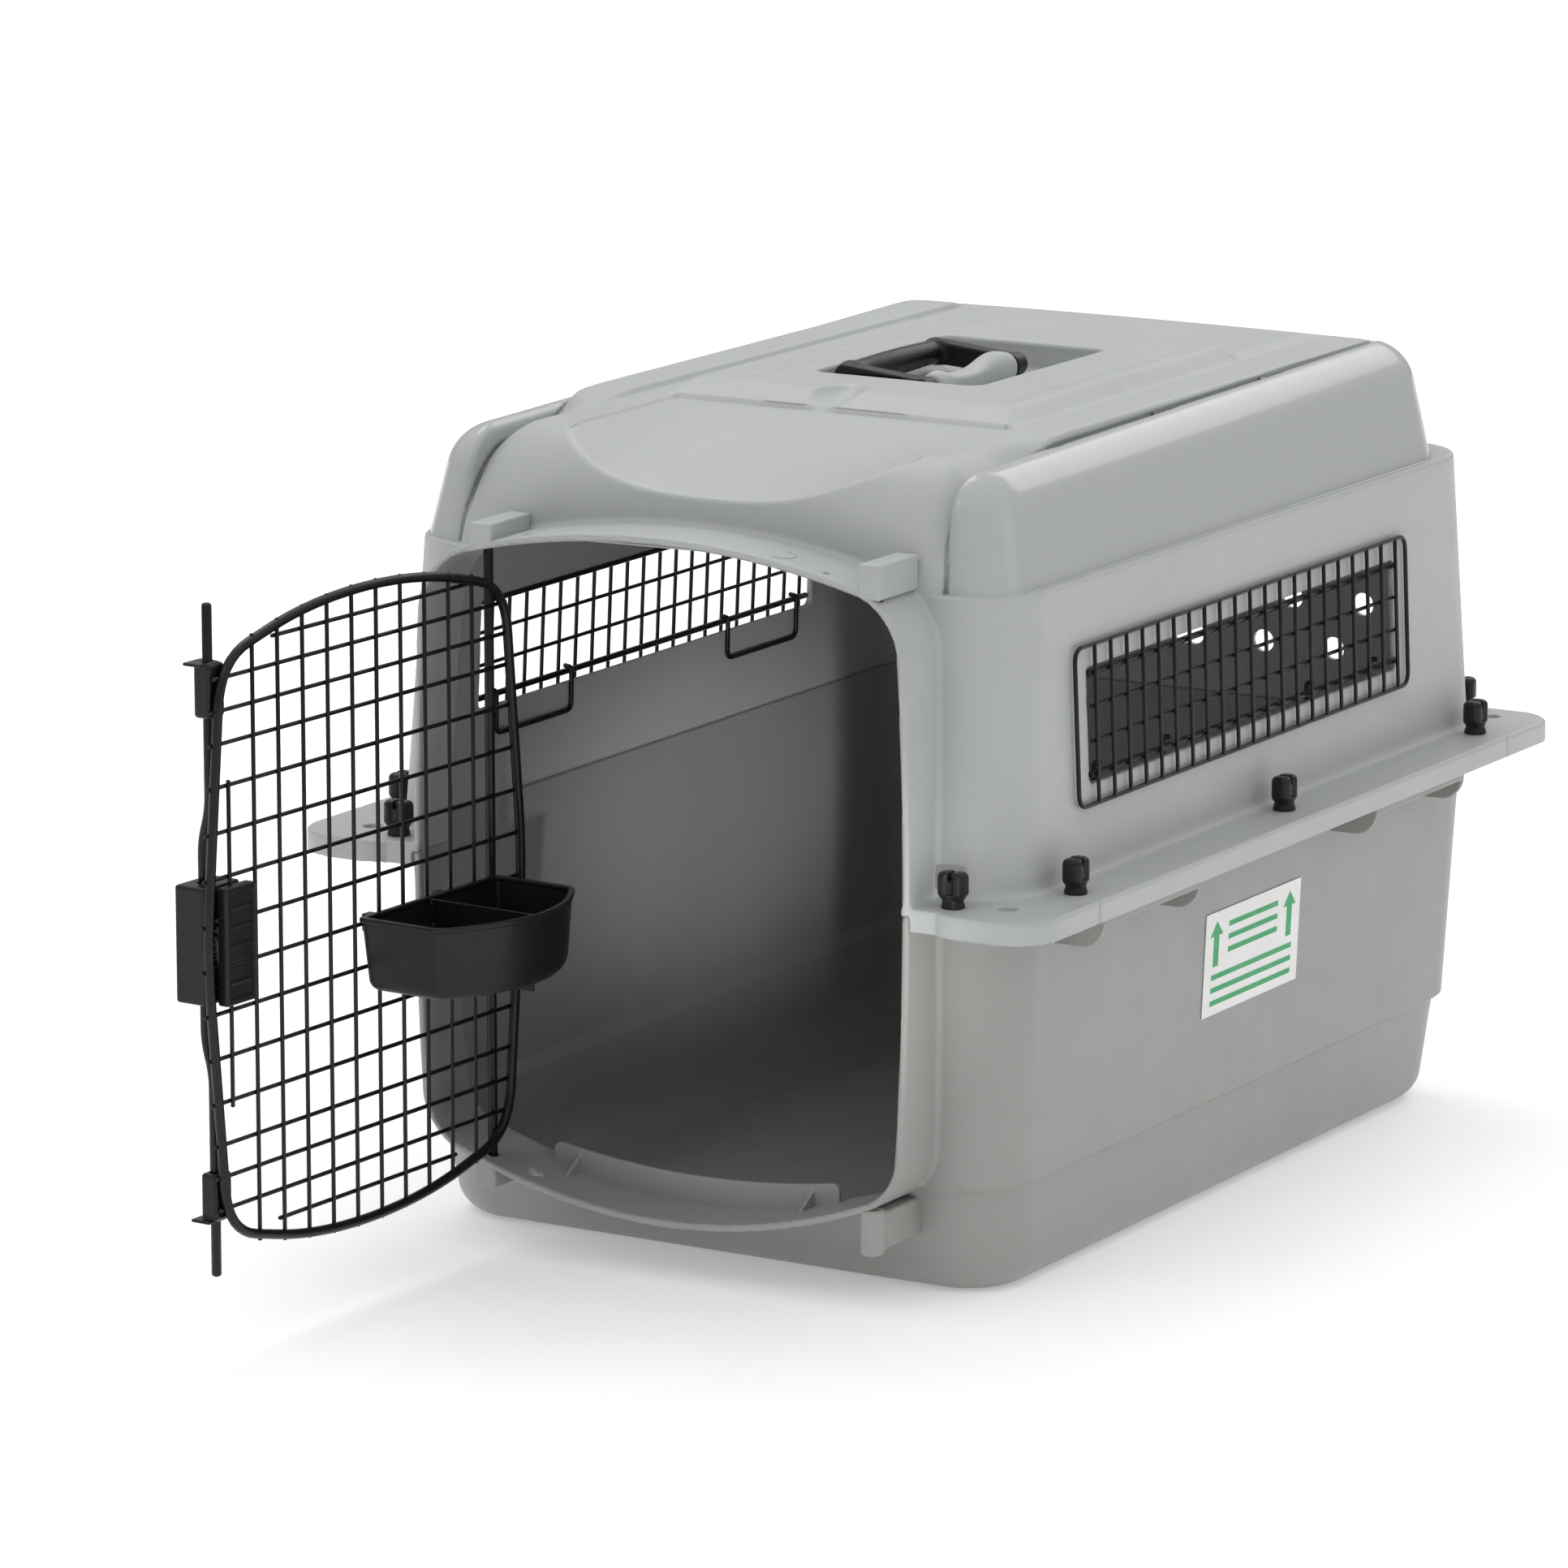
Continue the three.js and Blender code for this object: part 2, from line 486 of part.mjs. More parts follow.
// ---------------------------------------------------------------- fasteners
function wingNut() {
  const base = FLANGE_TOP + GAP;
  const hub = new THREE.CylinderGeometry(5.6, 7.2, 22, 8).rotateX(Math.PI / 2).translate(0, 0, base + 11);
  const wings = box(-10.5, 10.5, -2.4, 2.4, base + 7, base + 20);
  return cut(join(solid(hub), wings), rod("z", base - 1, base + 30, [0, 0], 3.5, 8));
}

function bolt() {
  const head = rod("z", LOWER_PLATE.z0 - 4.5, LOWER_PLATE.z0 - GAP, [0, 0], 6.5, 6);
  return join(head, rod("z", LOWER_PLATE.z0 - 1, FLANGE_TOP + 19, [0, 0], 3, 8));
}

// ---------------------------------------------------------------- vents
// Built flat, with X out of the wall, then leaned to the wall.
function ventGrille() {
  const { halfY, halfZ, firstBar, pitch, count } = VENT;
  const out = 2.6 + GAP;
  const outline = roundedRect(-halfZ - 2.4, halfZ + 2.4, -halfY - 2.4, halfY + 2.4, 6);
  outline.holes.push(roundedRect(2.4 - halfZ, halfZ - 2.4, 2.4 - halfY, halfY - 2.4, 2));
  const frame = prism(outline, out - 2.4, out + 2.4, 2).rotate([0, -90, 0]).translate(2 * out, 0, 0);
  const bars = Array.from({ length: count }, (_, k) => firstBar + k * pitch)
    .map((y) => box(out - 1.3, out + 1.3, y - 1.3, y + 1.3, -halfZ, halfZ));
  const [y0, y1] = [firstBar - 3, firstBar + (count - 1) * pitch + 3];
  const thin = [-10.6, 10.4].map((z) => box(out - 1.3, out + 1.3, y0, y1, z - 1.1, z + 1.1));
  const thick = [-31, 30.5].map((z) => box(-2.4, out - 1.1, y0, y1, z - 2, z + 2));
  return join(frame, bars, thin, thick);
}

// A bent wire clip that hangs inside the wall and hooks over the grille's lower bar.
function ventClip(y) {
  const half = 44;
  const points = [[-1.4, y - half, -26.4], [-5, y - half, -26.4], [-7, y - half, -31], [-7, y - half, -50],
    [-7, y - half + 5, -54], [-7, y + half - 5, -54], [-7, y + half, -50], [-7, y + half, -31],
    [-5, y + half, -26.4], [-1.4, y + half, -26.4]];
  return wire(points, 1.6, 2, 16);
}

// ---------------------------------------------------------------- assembly
const carrier = new THREE.Group();

function place(name, body, material, parent = carrier) {
  const mesh = new THREE.Mesh(geometryOf(body), material);
  mesh.name = name;
  parent.add(mesh);
  return mesh;
}

place("top_shell", topShell(), topGrey);
place("bottom_shell", bottomShell(), baseGrey);

const nut = wingNut();
const screw = bolt();
const SITES = [
  ["front_right", BOLTS.ends[0]], ["front_left", BOLTS.ends[1]],
  ["right_front", BOLTS.side[0]], ["left_front", BOLTS.side[1]],
  ["right_middle", BOLTS.side[2]], ["left_middle", BOLTS.side[3]],
  ["right_rear", BOLTS.side[4]], ["left_rear", BOLTS.side[5]],
  ["rear_right", BOLTS.ends[2]], ["rear_left", BOLTS.ends[3]],
];
for (const [site, [x, y]] of SITES) {
  const turn = site.startsWith("front") || site.startsWith("rear") ? 0 : 90;
  place("wing_nut_" + site, nut.rotate([0, 0, turn]).translate(x, y, 0), blackPlastic);
  place("bolt_" + site, screw.translate(x, y, 0), zincSteel);
}

// Half width of the upper shell's wall at a height, and its lean from upright.
const wallLean = (TOP_SECTIONS[0].x - TOP_SECTIONS[1].x) / (TOP_SECTIONS[1].z - TOP_SECTIONS[0].z);
const wallAt = (z) => TOP_SECTIONS[0].x - (z - TOP_SECTIONS[0].z) * wallLean;
for (const side of ["right", "left"]) {
  const vent = new THREE.Group();
  vent.scale.x = side === "right" ? 1 : -1;
  const lean = new THREE.Group();
  lean.position.set(wallAt(VENT.z), VENT.y, VENT.z);
  lean.rotation.y = -Math.atan(wallLean);
  vent.add(lean);
  carrier.add(vent);
  place("vent_grille_" + side, ventGrille(), coatedWire, lean);
  place("vent_clip_" + side + "_a", ventClip(-140), coatedWire, lean);
  place("vent_clip_" + side + "_b", ventClip(140), coatedWire, lean);
}

const labelLean = (BASE_SECTIONS[5].x - BASE_SECTIONS[4].x) / (BASE_SECTIONS[5].z - BASE_SECTIONS[4].z);
const label = place("handling_label", box(GAP, GAP + LABEL.thick, -LABEL.width / 2, LABEL.width / 2,
  -LABEL.height / 2, LABEL.height / 2), labelWhite);
label.position.set(BASE_SECTIONS[4].x + (LABEL.z - BASE_SECTIONS[4].z) * labelLean, LABEL.y, LABEL.z);
label.rotation.y = Math.atan(labelLean);

place("carry_handle", handle(), blackPlastic);
place("handle_pin_front", pivotPin(true), blackPlastic);
place("handle_pin_rear", pivotPin(false), blackPlastic);

const door = new THREE.Group();
door.position.set(HINGE.x, HINGE.y, 0);
door.rotation.z = THREE.MathUtils.degToRad(-HINGE.openAngle);
carrier.add(door);
place("door_panel", doorGrid(), coatedWire, door);
place("rod_guide_top", rodGuide(377, 409, true), coatedWire, door);
place("rod_guide_bottom", rodGuide(79, 107, false), coatedWire, door);
place("latch_rod_upper", latchRod(true), coatedWire, door);
place("latch_rod_lower", latchRod(false), coatedWire, door);
place("latch_housing", latchHousing(), blackPlastic, door);
place("latch_backplate", box(250, 278, 5.2, 13, 209, 279), blackPlastic, door);
place("squeeze_tab_upper", slider(SLIDERS.upper, 262, 272, false), blackPlastic, door);
place("squeeze_tab_lower", slider(SLIDERS.lower, 216, 226, true), blackPlastic, door);
place("latch_spring", latchSpring(), zincSteel, door);
place("food_cup", foodCup(), blackPlastic, door);

export default carrier;
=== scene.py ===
"""Looks for a two-shell plastic pet transport carrier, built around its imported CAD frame.

Shapes are signed distance functions in millimetres, meshed on a grid, and wires are swept tubes.
Every finished mesh is in metres, in the frame's own axes, and rides on its CAD body.
"""

import math
from concurrent.futures import ThreadPoolExecutor

import bpy
import numpy as np
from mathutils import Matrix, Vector


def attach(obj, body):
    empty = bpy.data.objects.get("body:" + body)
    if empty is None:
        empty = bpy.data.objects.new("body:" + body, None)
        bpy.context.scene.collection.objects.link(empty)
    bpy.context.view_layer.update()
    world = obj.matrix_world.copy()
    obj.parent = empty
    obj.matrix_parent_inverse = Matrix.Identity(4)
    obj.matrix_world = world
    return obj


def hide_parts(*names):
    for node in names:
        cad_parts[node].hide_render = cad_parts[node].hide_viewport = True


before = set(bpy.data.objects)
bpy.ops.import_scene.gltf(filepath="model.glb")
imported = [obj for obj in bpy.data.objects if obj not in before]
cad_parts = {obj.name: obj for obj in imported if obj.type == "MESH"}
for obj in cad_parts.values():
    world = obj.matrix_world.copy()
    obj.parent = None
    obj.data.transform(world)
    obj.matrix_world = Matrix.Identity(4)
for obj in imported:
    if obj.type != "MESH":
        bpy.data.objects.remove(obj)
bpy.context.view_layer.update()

MM = 0.001

# ---------------------------------------------------------------- camera, floor and lights
# Places here are in metres and lamp powers in watts.
CAMERA_AT = (2.4414, -4.3208, 1.3076)
CAMERA_YAW = math.radians(30.65)
CAMERA_PITCH = math.radians(12.13)
LENS = 184.1
SENSOR = 36.0


def make_camera():
    data = bpy.data.cameras.new("camera")
    data.lens = LENS
    data.sensor_width = SENSOR
    data.clip_end = 50
    camera = bpy.data.objects.new("camera", data)
    camera.location = CAMERA_AT
    camera.rotation_euler = (math.pi / 2 - CAMERA_PITCH, 0, CAMERA_YAW)
    bpy.context.scene.collection.objects.link(camera)
    bpy.context.scene.camera = camera


SKY_HORIZON, SKY_ZENITH = 0.27, 1.1
MIDDLE = (0, 0, 0.25)
FLOOR_SIZE = 30
LAMPS = (  # name, place, size, power
    ("overhead", (-1.1, 0.9, 3.0), (1.4, 1.6), 18),
    ("side", (3.0, 0.2, 1.5), (1.2, 1.6), 4),
    ("back", (0.2, 3.0, 2.4), (2.4, 1.2), 12),
    ("front", (-0.6, -2.4, 3.0), (1.4, 1.0), 6),
)


def aim(lamp, at, target):
    lamp.location = at
    lamp.rotation_euler = (Vector(target) - Vector(at)).to_track_quat("-Z", "Y").to_euler()
    bpy.context.scene.collection.objects.link(lamp)


def area_light(name, at, size, power):
    data = bpy.data.lights.new(name, "AREA")
    data.shape = "RECTANGLE"
    data.size, data.size_y = size
    data.energy = power
    aim(bpy.data.objects.new(name, data), at, MIDDLE)


def doorway_light():
    """A narrow soft beam through the doorway onto the inside of the left wall."""
    spot = bpy.data.lights.new("doorway", "SPOT")
    spot.energy, spot.shadow_soft_size = 300, 0.05
    spot.spot_size, spot.spot_blend = math.radians(5.0), 1.0
    aim(bpy.data.objects.new("doorway", spot), (1.9, -3.0, 0.36), (-0.2, 0.05, 0.2))


def make_sky():
    """White light that grows from the horizon to the zenith."""
    world = bpy.data.worlds.new("studio")
    world.use_nodes = True
    tree = world.node_tree
    background = tree.nodes["Background"]
    background.inputs["Strength"].default_value = 1.0
    direction = tree.nodes.new("ShaderNodeTexCoord")
    split = tree.nodes.new("ShaderNodeSeparateXYZ")
    tree.links.new(direction.outputs["Generated"], split.inputs[0])
    level = span(tree, split.outputs["Z"], SKY_HORIZON, SKY_ZENITH, 0.0, 1.0)
    tree.links.new(level, background.inputs["Color"])
    bpy.context.scene.world = world


def make_studio():
    scene = bpy.context.scene
    scene.view_settings.view_transform = "Standard"
    scene.view_settings.look = "None"
    make_sky()
    for name, at, size, power in LAMPS:
        area_light(name, at, size, power)
    doorway_light()
    bpy.ops.mesh.primitive_grid_add(x_subdivisions=4, y_subdivisions=4, size=FLOOR_SIZE)
    floor = bpy.context.object
    floor.name = "studio_floor"
    floor.data.materials.append(floor_material())


# ---------------------------------------------------------------- materials
def new_material(name, color, roughness, metallic=0.0):
    material = bpy.data.materials.new(name)
    material.use_nodes = True
    shader = material.node_tree.nodes["Principled BSDF"]
    shader.inputs["Base Color"].default_value = (*color, 1)
    shader.inputs["Roughness"].default_value = roughness
    shader.inputs["Metallic"].default_value = metallic
    return material, material.node_tree, shader


def noise(tree, scale, detail=4.0):
    place = tree.nodes.new("ShaderNodeTexCoord")
    texture = tree.nodes.new("ShaderNodeTexNoise")
    texture.inputs["Scale"].default_value = scale
    texture.inputs["Detail"].default_value = detail
    tree.links.new(place.outputs["Object"], texture.inputs["Vector"])
    return texture.outputs["Fac"]


def span(tree, fac, low, high, from_low=0.3, from_high=0.7):
    """Maps a value, by default the middle of a noise, to a range of numbers."""
    node = tree.nodes.new("ShaderNodeMapRange")
    node.inputs["From Min"].default_value = from_low
    node.inputs["From Max"].default_value = from_high
    node.inputs["To Min"].default_value = low
    node.inputs["To Max"].default_value = high
    tree.links.new(fac, node.inputs["Value"])
    return node.outputs["Result"]


def tint(tree, fac, color_a, color_b):
    node = tree.nodes.new("ShaderNodeMix")
    node.data_type = "RGBA"
    node.inputs[6].default_value = (*color_a, 1)
    node.inputs[7].default_value = (*color_b, 1)
    tree.links.new(fac, node.inputs["Factor"])
    return node.outputs[2]


def add_bump(tree, shader, height, distance, strength):
    bump = tree.nodes.new("ShaderNodeBump")
    bump.inputs["Distance"].default_value = distance
    bump.inputs["Strength"].default_value = strength
    tree.links.new(height, bump.inputs["Height"])
    tree.links.new(bump.outputs["Normal"], shader.inputs["Normal"])


def moulded(name, color, roughness, grain, grain_depth, spread, strength, rough_spread=0.06):
    """Moulded plastic: a fine spark-etched grain, broad flow marks and slight patches of shine.
    Lengths in materials are in metres."""
    material, tree, shader = new_material(name, color, roughness)
    shader.inputs["IOR"].default_value = 1.49
    patches = span(tree, noise(tree, 7.0, 3.0), 0, 1)
    lighter = tuple(min(1, c * (1 + spread)) for c in color)
    darker = tuple(c * (1 - spread) for c in color)
    tree.links.new(tint(tree, patches, darker, lighter), shader.inputs["Base Color"])
    shine = span(tree, noise(tree, 38.0, 5.0), roughness - rough_spread, roughness + rough_spread)
    tree.links.new(shine, shader.inputs["Roughness"])
    add_bump(tree, shader, noise(tree, grain, 2.0), grain_depth, strength)
    return material


def coated_wire_material():
    """Black baked coating on steel wire, with a slightly pebbled skin."""
    material, tree, shader = new_material("coated_wire_skin", (0.006, 0.006, 0.006), 0.32)
    shader.inputs["Specular IOR Level"].default_value = 0.3
    shader.inputs["Coat Weight"].default_value = 0.06
    shader.inputs["Coat Roughness"].default_value = 0.12
    tree.links.new(span(tree, noise(tree, 60, 4), 0.24, 0.42), shader.inputs["Roughness"])
    add_bump(tree, shader, noise(tree, 420, 3), 0.00025, 0.35)
    return material


def steel_material():
    """Zinc plate with a faint spangle."""
    material, tree, shader = new_material("zinc_plate_skin", (0.55, 0.55, 0.53), 0.34, 1.0)
    spangle = noise(tree, 220, 3)
    shade = tint(tree, span(tree, spangle, 0, 1), (0.42, 0.42, 0.4), (0.66, 0.66, 0.63))
    tree.links.new(shade, shader.inputs["Base Color"])
    tree.links.new(span(tree, spangle, 0.26, 0.45), shader.inputs["Roughness"])
    add_bump(tree, shader, noise(tree, 700, 2), 0.0001, 0.3)
    return material


def film_material(name, color):
    """Printed plastic film, faintly mottled."""
    material, tree, shader = new_material(name, color, 0.42)
    darker = tuple(c * 0.95 for c in color)
    mottle = tint(tree, span(tree, noise(tree, 30, 3), 0, 1), darker, color)
    tree.links.new(mottle, shader.inputs["Base Color"])
    tree.links.new(span(tree, noise(tree, 90, 3), 0.36, 0.5), shader.inputs["Roughness"])
    add_bump(tree, shader, noise(tree, 160, 2), 0.0001, 0.25)
    return material


def floor_material():
    """White paper with a little light of its own, so that it reads as overexposed."""
    material, tree, shader = new_material("studio_paper", (0.95, 0.95, 0.95), 0.8)
    shader.inputs["Specular IOR Level"].default_value = 0.15
    shader.inputs["Emission Color"].default_value = (1, 1, 1, 1)
    shader.inputs["Emission Strength"].default_value = 0.24
    add_bump(tree, shader, noise(tree, 60, 3), 0.0001, 0.1)
    return material


# ---------------------------------------------------------------- distance functions, in mm
def smin(a, b, k):
    h = np.maximum(k - np.abs(a - b), 0) / k
    return np.minimum(a, b) - h * h * (k / 4)


def smax(a, b, k):
    return -smin(-a, -b, k)


def round_max(a, b, r):
    """Where both hold, with the outer edge between them rounded to radius r."""
    return np.minimum(np.maximum(a, b), -r) + np.hypot(np.maximum(a + r, 0), np.maximum(b + r, 0))


def rect(x, y, x0, x1, y0, y1, r):
    """Distance to a rectangle in the plane, with rounded corners."""
    qx = np.abs(x - (x0 + x1) / 2) - (x1 - x0) / 2 + r
    qy = np.abs(y - (y0 + y1) / 2) - (y1 - y0) / 2 + r
    return np.hypot(np.maximum(qx, 0), np.maximum(qy, 0)) + np.minimum(np.maximum(qx, qy), 0) - r


def box(x, y, z, x0, x1, y0, y1, z0, z1, r=1.0):
    qx = np.abs(x - (x0 + x1) / 2) - (x1 - x0) / 2 + r
    qy = np.abs(y - (y0 + y1) / 2) - (y1 - y0) / 2 + r
    qz = np.abs(z - (z0 + z1) / 2) - (z1 - z0) / 2 + r
    outside = np.sqrt(np.maximum(qx, 0) ** 2 + np.maximum(qy, 0) ** 2 + np.maximum(qz, 0) ** 2)
    return outside + np.minimum(np.maximum(np.maximum(qx, qy), qz), 0) - r


def cylinder(a, b, t, ca, cb, radius, t0, t1, r=0.8):
    """A cylinder along t, centred at ca, cb in the other two axes, with rounded ends."""
    side = np.hypot(a - ca, b - cb) - radius
    ends = np.abs(t - (t0 + t1) / 2) - (t1 - t0) / 2
    return round_max(side, ends, r)


def ellipsoid(x, y, z, centre, radii):
    px, py, pz = (x - centre[0]) / radii[0], (y - centre[1]) / radii[1], (z - centre[2]) / radii[2]
    return (np.sqrt(px * px + py * py + pz * pz) - 1) * min(radii)


def ramp(t, soft=0.15):
    """0 below 0, 1 above 1, with softened corners."""
    return smin(smax(t, np.float32(0), soft), np.float32(1), soft)


def ease(t):
    t = np.clip(t, 0, 1)
    return t * t * (3 - 2 * t)


# ---------------------------------------------------------------- meshing
CHUNK = 150_000
THREADS = 4


def evaluate(sdf, points):
    """Distances at many points, a chunk to a thread."""

    def one(part):
        return sdf(part[:, 0], part[:, 1], part[:, 2]).astype(np.float32)

    parts = [points[i : i + CHUNK] for i in range(0, len(points), CHUNK)]
    with ThreadPoolExecutor(THREADS) as pool:
        return np.concatenate(list(pool.map(one, parts)))


CORNERS = np.array([(i, j, k) for i in (0, 1) for j in (0, 1) for k in (0, 1)])
EDGES = [(a, b) for a in range(8) for b in range(a + 1, 8) if np.abs(CORNERS[a] - CORNERS[b]).sum() == 1]
TETRA = np.array([(1, -1, -1), (-1, -1, 1), (-1, 1, -1), (1, 1, 1)], np.float32)
BLOCK = 4


def slope(sdf, points, step):
    """Gradient of the distance at each point."""
    total = np.zeros_like(points)
    for corner in TETRA:
        total += corner * evaluate(sdf, points + corner * step)[:, None]
    return total / (4 * step)


def to_surface(sdf, points, h, rounds=3):
    """Points moved onto the zero surface by a few short Newton steps."""
    for _ in range(rounds):
        value = evaluate(sdf, points)
        gradient = slope(sdf, points, 0.15 * h)
        square = np.maximum((gradient * gradient).sum(1), 0.05)
        move = (value / square)[:, None] * gradient
        length = np.linalg.norm(move, axis=1)
        move *= np.minimum(1, 0.5 * h / np.maximum(length, 1e-9))[:, None]
        points = points - move
    return points


def spread_blocks(values):
    for axis in range(3):
        values = np.repeat(values, BLOCK, axis)
    return np.pad(values, ((0, 1),) * 3, mode="edge")


def grid_values(sdf, low, high, h):
    """Distances on a grid, worked out only near the surface. Far points keep their block's value."""
    blocks = np.ceil((np.array(high) - low) / (BLOCK * h)).astype(int)
    axes = [low[a] + (np.arange(blocks[a]) + 0.5) * BLOCK * h for a in range(3)]
    centres = np.stack(np.meshgrid(*axes, indexing="ij"), -1).reshape(-1, 3).astype(np.float32)
    coarse = evaluate(sdf, centres).reshape(blocks)
    near = np.abs(coarse) < BLOCK * h * 1.15 + 1.5
    for axis in range(3):
        near = near.repeat(BLOCK, axis)
    near = np.pad(near, ((0, 1),) * 3)
    for axis in range(3):
        near |= np.roll(near, 1, axis)
    values = spread_blocks(coarse)
    where = np.argwhere(near)
    values[near] = evaluate(sdf, (low + where * h).astype(np.float32))
    return values


def surface_net(sdf, low, high, h):
    """Vertices and quads of the zero surface."""
    low = np.array(low, np.float64)
    values = grid_values(sdf, low, high, h)
    inside = values < 0
    cells = tuple(s - 1 for s in inside.shape)
    count = np.zeros(cells, np.int8)
    for i, j, k in CORNERS:
        count += inside[i : cells[0] + i, j : cells[1] + j, k : cells[2] + k]
    crossed = (count > 0) & (count < 8)
    where = np.argwhere(crossed)
    number = np.full(cells, -1, np.int32)
    number[crossed] = np.arange(len(where))
    corner_values = [values[tuple((where + c).T)] for c in CORNERS]
    total, hits = np.zeros((len(where), 3)), np.zeros(len(where))
    for a, b in EDGES:
        fa, fb = corner_values[a], corner_values[b]
        hit = (fa < 0) != (fb < 0)
        t = fa[hit] / (fa[hit] - fb[hit])
        total[hit] += CORNERS[a] + t[:, None] * (CORNERS[b] - CORNERS[a])
        hits[hit] += 1
    vertices = (low + (where + total / hits[:, None]) * h).astype(np.float32)
    quads = []
    for axis in range(3):
        a, b = [(1, 2), (2, 0), (0, 1)][axis]
        first = np.take(inside, range(cells[axis]), axis)
        second = np.take(inside, range(1, cells[axis] + 1), axis)
        at = np.argwhere(first != second)
        at = at[(at[:, a] > 0) & (at[:, b] > 0) & (at[:, a] < cells[a]) & (at[:, b] < cells[b])]
        ring = []
        for da, db in ((0, 0), (-1, 0), (-1, -1), (0, -1)):
            cell = at.copy()
            cell[:, a] += da
            cell[:, b] += db
            ring.append(number[tuple(cell.T)])
        faces = np.stack(ring, 1)
        starts_in = first[tuple(at.T)]
        faces[~starts_in] = faces[~starts_in][:, ::-1]
        quads.append(faces)
    faces = np.concatenate(quads)
    return vertices, faces[(faces >= 0).all(1)]


def mesh_from(name, vertices, faces):
    mesh = bpy.data.meshes.new(name)
    n, m = len(vertices), len(faces)
    sides = faces.shape[1]
    mesh.vertices.add(n)
    mesh.vertices.foreach_set("co", vertices.astype(np.float32).ravel())
    mesh.loops.add(m * sides)
    mesh.loops.foreach_set("vertex_index", faces.astype(np.int32).ravel())
    mesh.polygons.add(m)
    mesh.polygons.foreach_set("loop_start", np.arange(0, m * sides, sides, dtype=np.int32))
    mesh.polygons.foreach_set("loop_total", np.full(m, sides, np.int32))
    mesh.update(calc_edges=True)
    mesh.validate()
    mesh.shade_smooth()
    return mesh


def coordinates(mesh):
    found = np.zeros(len(mesh.vertices) * 3, np.float32)
    mesh.vertices.foreach_get("co", found)
    return found.reshape(-1, 3)


def thinned(mesh, limit):
    """The mesh of quads with no more triangles than the limit."""
    triangles = 2 * len(mesh.polygons)
    if triangles <= limit:
        return mesh
    holder = bpy.data.objects.new("holder", mesh)
    bpy.context.scene.collection.objects.link(holder)
    modifier = holder.modifiers.new("thin", "DECIMATE")
    modifier.ratio = limit / triangles
    graph = bpy.context.evaluated_depsgraph_get()
    graph.update()
    result = bpy.data.meshes.new_from_object(holder.evaluated_get(graph))
    bpy.data.objects.remove(holder)
    return result


def moulding(name, sdf, low, high, h, limit=190_000, axes=None):
    """An object from a distance function, with normals taken from the function itself.
    axes turns local coordinates into the frame's."""
    vertices, faces = surface_net(sdf, low, high, h)
    vertices = to_surface(sdf, vertices, h)
    mesh = thinned(mesh_from(name, vertices, faces), limit)
    vertices = to_surface(sdf, coordinates(mesh), h, 2)
    normals = slope(sdf, vertices, 0.12 * h)
    normals /= np.maximum(np.linalg.norm(normals, axis=1), 1e-6)[:, None]
    if axes:
        vertices, normals = axes(vertices, 1.0), axes(normals, 0.0)
    mesh.vertices.foreach_set("co", (vertices * MM).astype(np.float32).ravel())
    mesh.update()
    mesh.shade_smooth()
    mesh.normals_split_custom_set_from_vertices(normals.astype(float).tolist())
    piece = bpy.data.objects.new(name, mesh)
    bpy.context.scene.collection.objects.link(piece)
    print(name, len(mesh.polygons), "faces")
    return piece


# ---------------------------------------------------------------- tubes
def rounded_path(points, radius, closed=False, steps=5):
    """Straight runs with each corner turned by an arc-like bend."""
    p = np.array(points, float)
    n = len(p)
    path = []
    for i in range(n):
        if not closed and i in (0, n - 1):
            path.append(p[i])
            continue
        before, here, after = p[i - 1], p[i], p[(i + 1) % n]
        back, ahead = before - here, after - here
        trim = min(radius, np.linalg.norm(back) / 2.01, np.linalg.norm(ahead) / 2.01)
        start = here + back / np.linalg.norm(back) * trim
        end = here + ahead / np.linalg.norm(ahead) * trim
        for t in np.linspace(0, 1, steps + 1):
            path.append((1 - t) ** 2 * start + 2 * t * (1 - t) * here + t * t * end)
    return np.array(path)


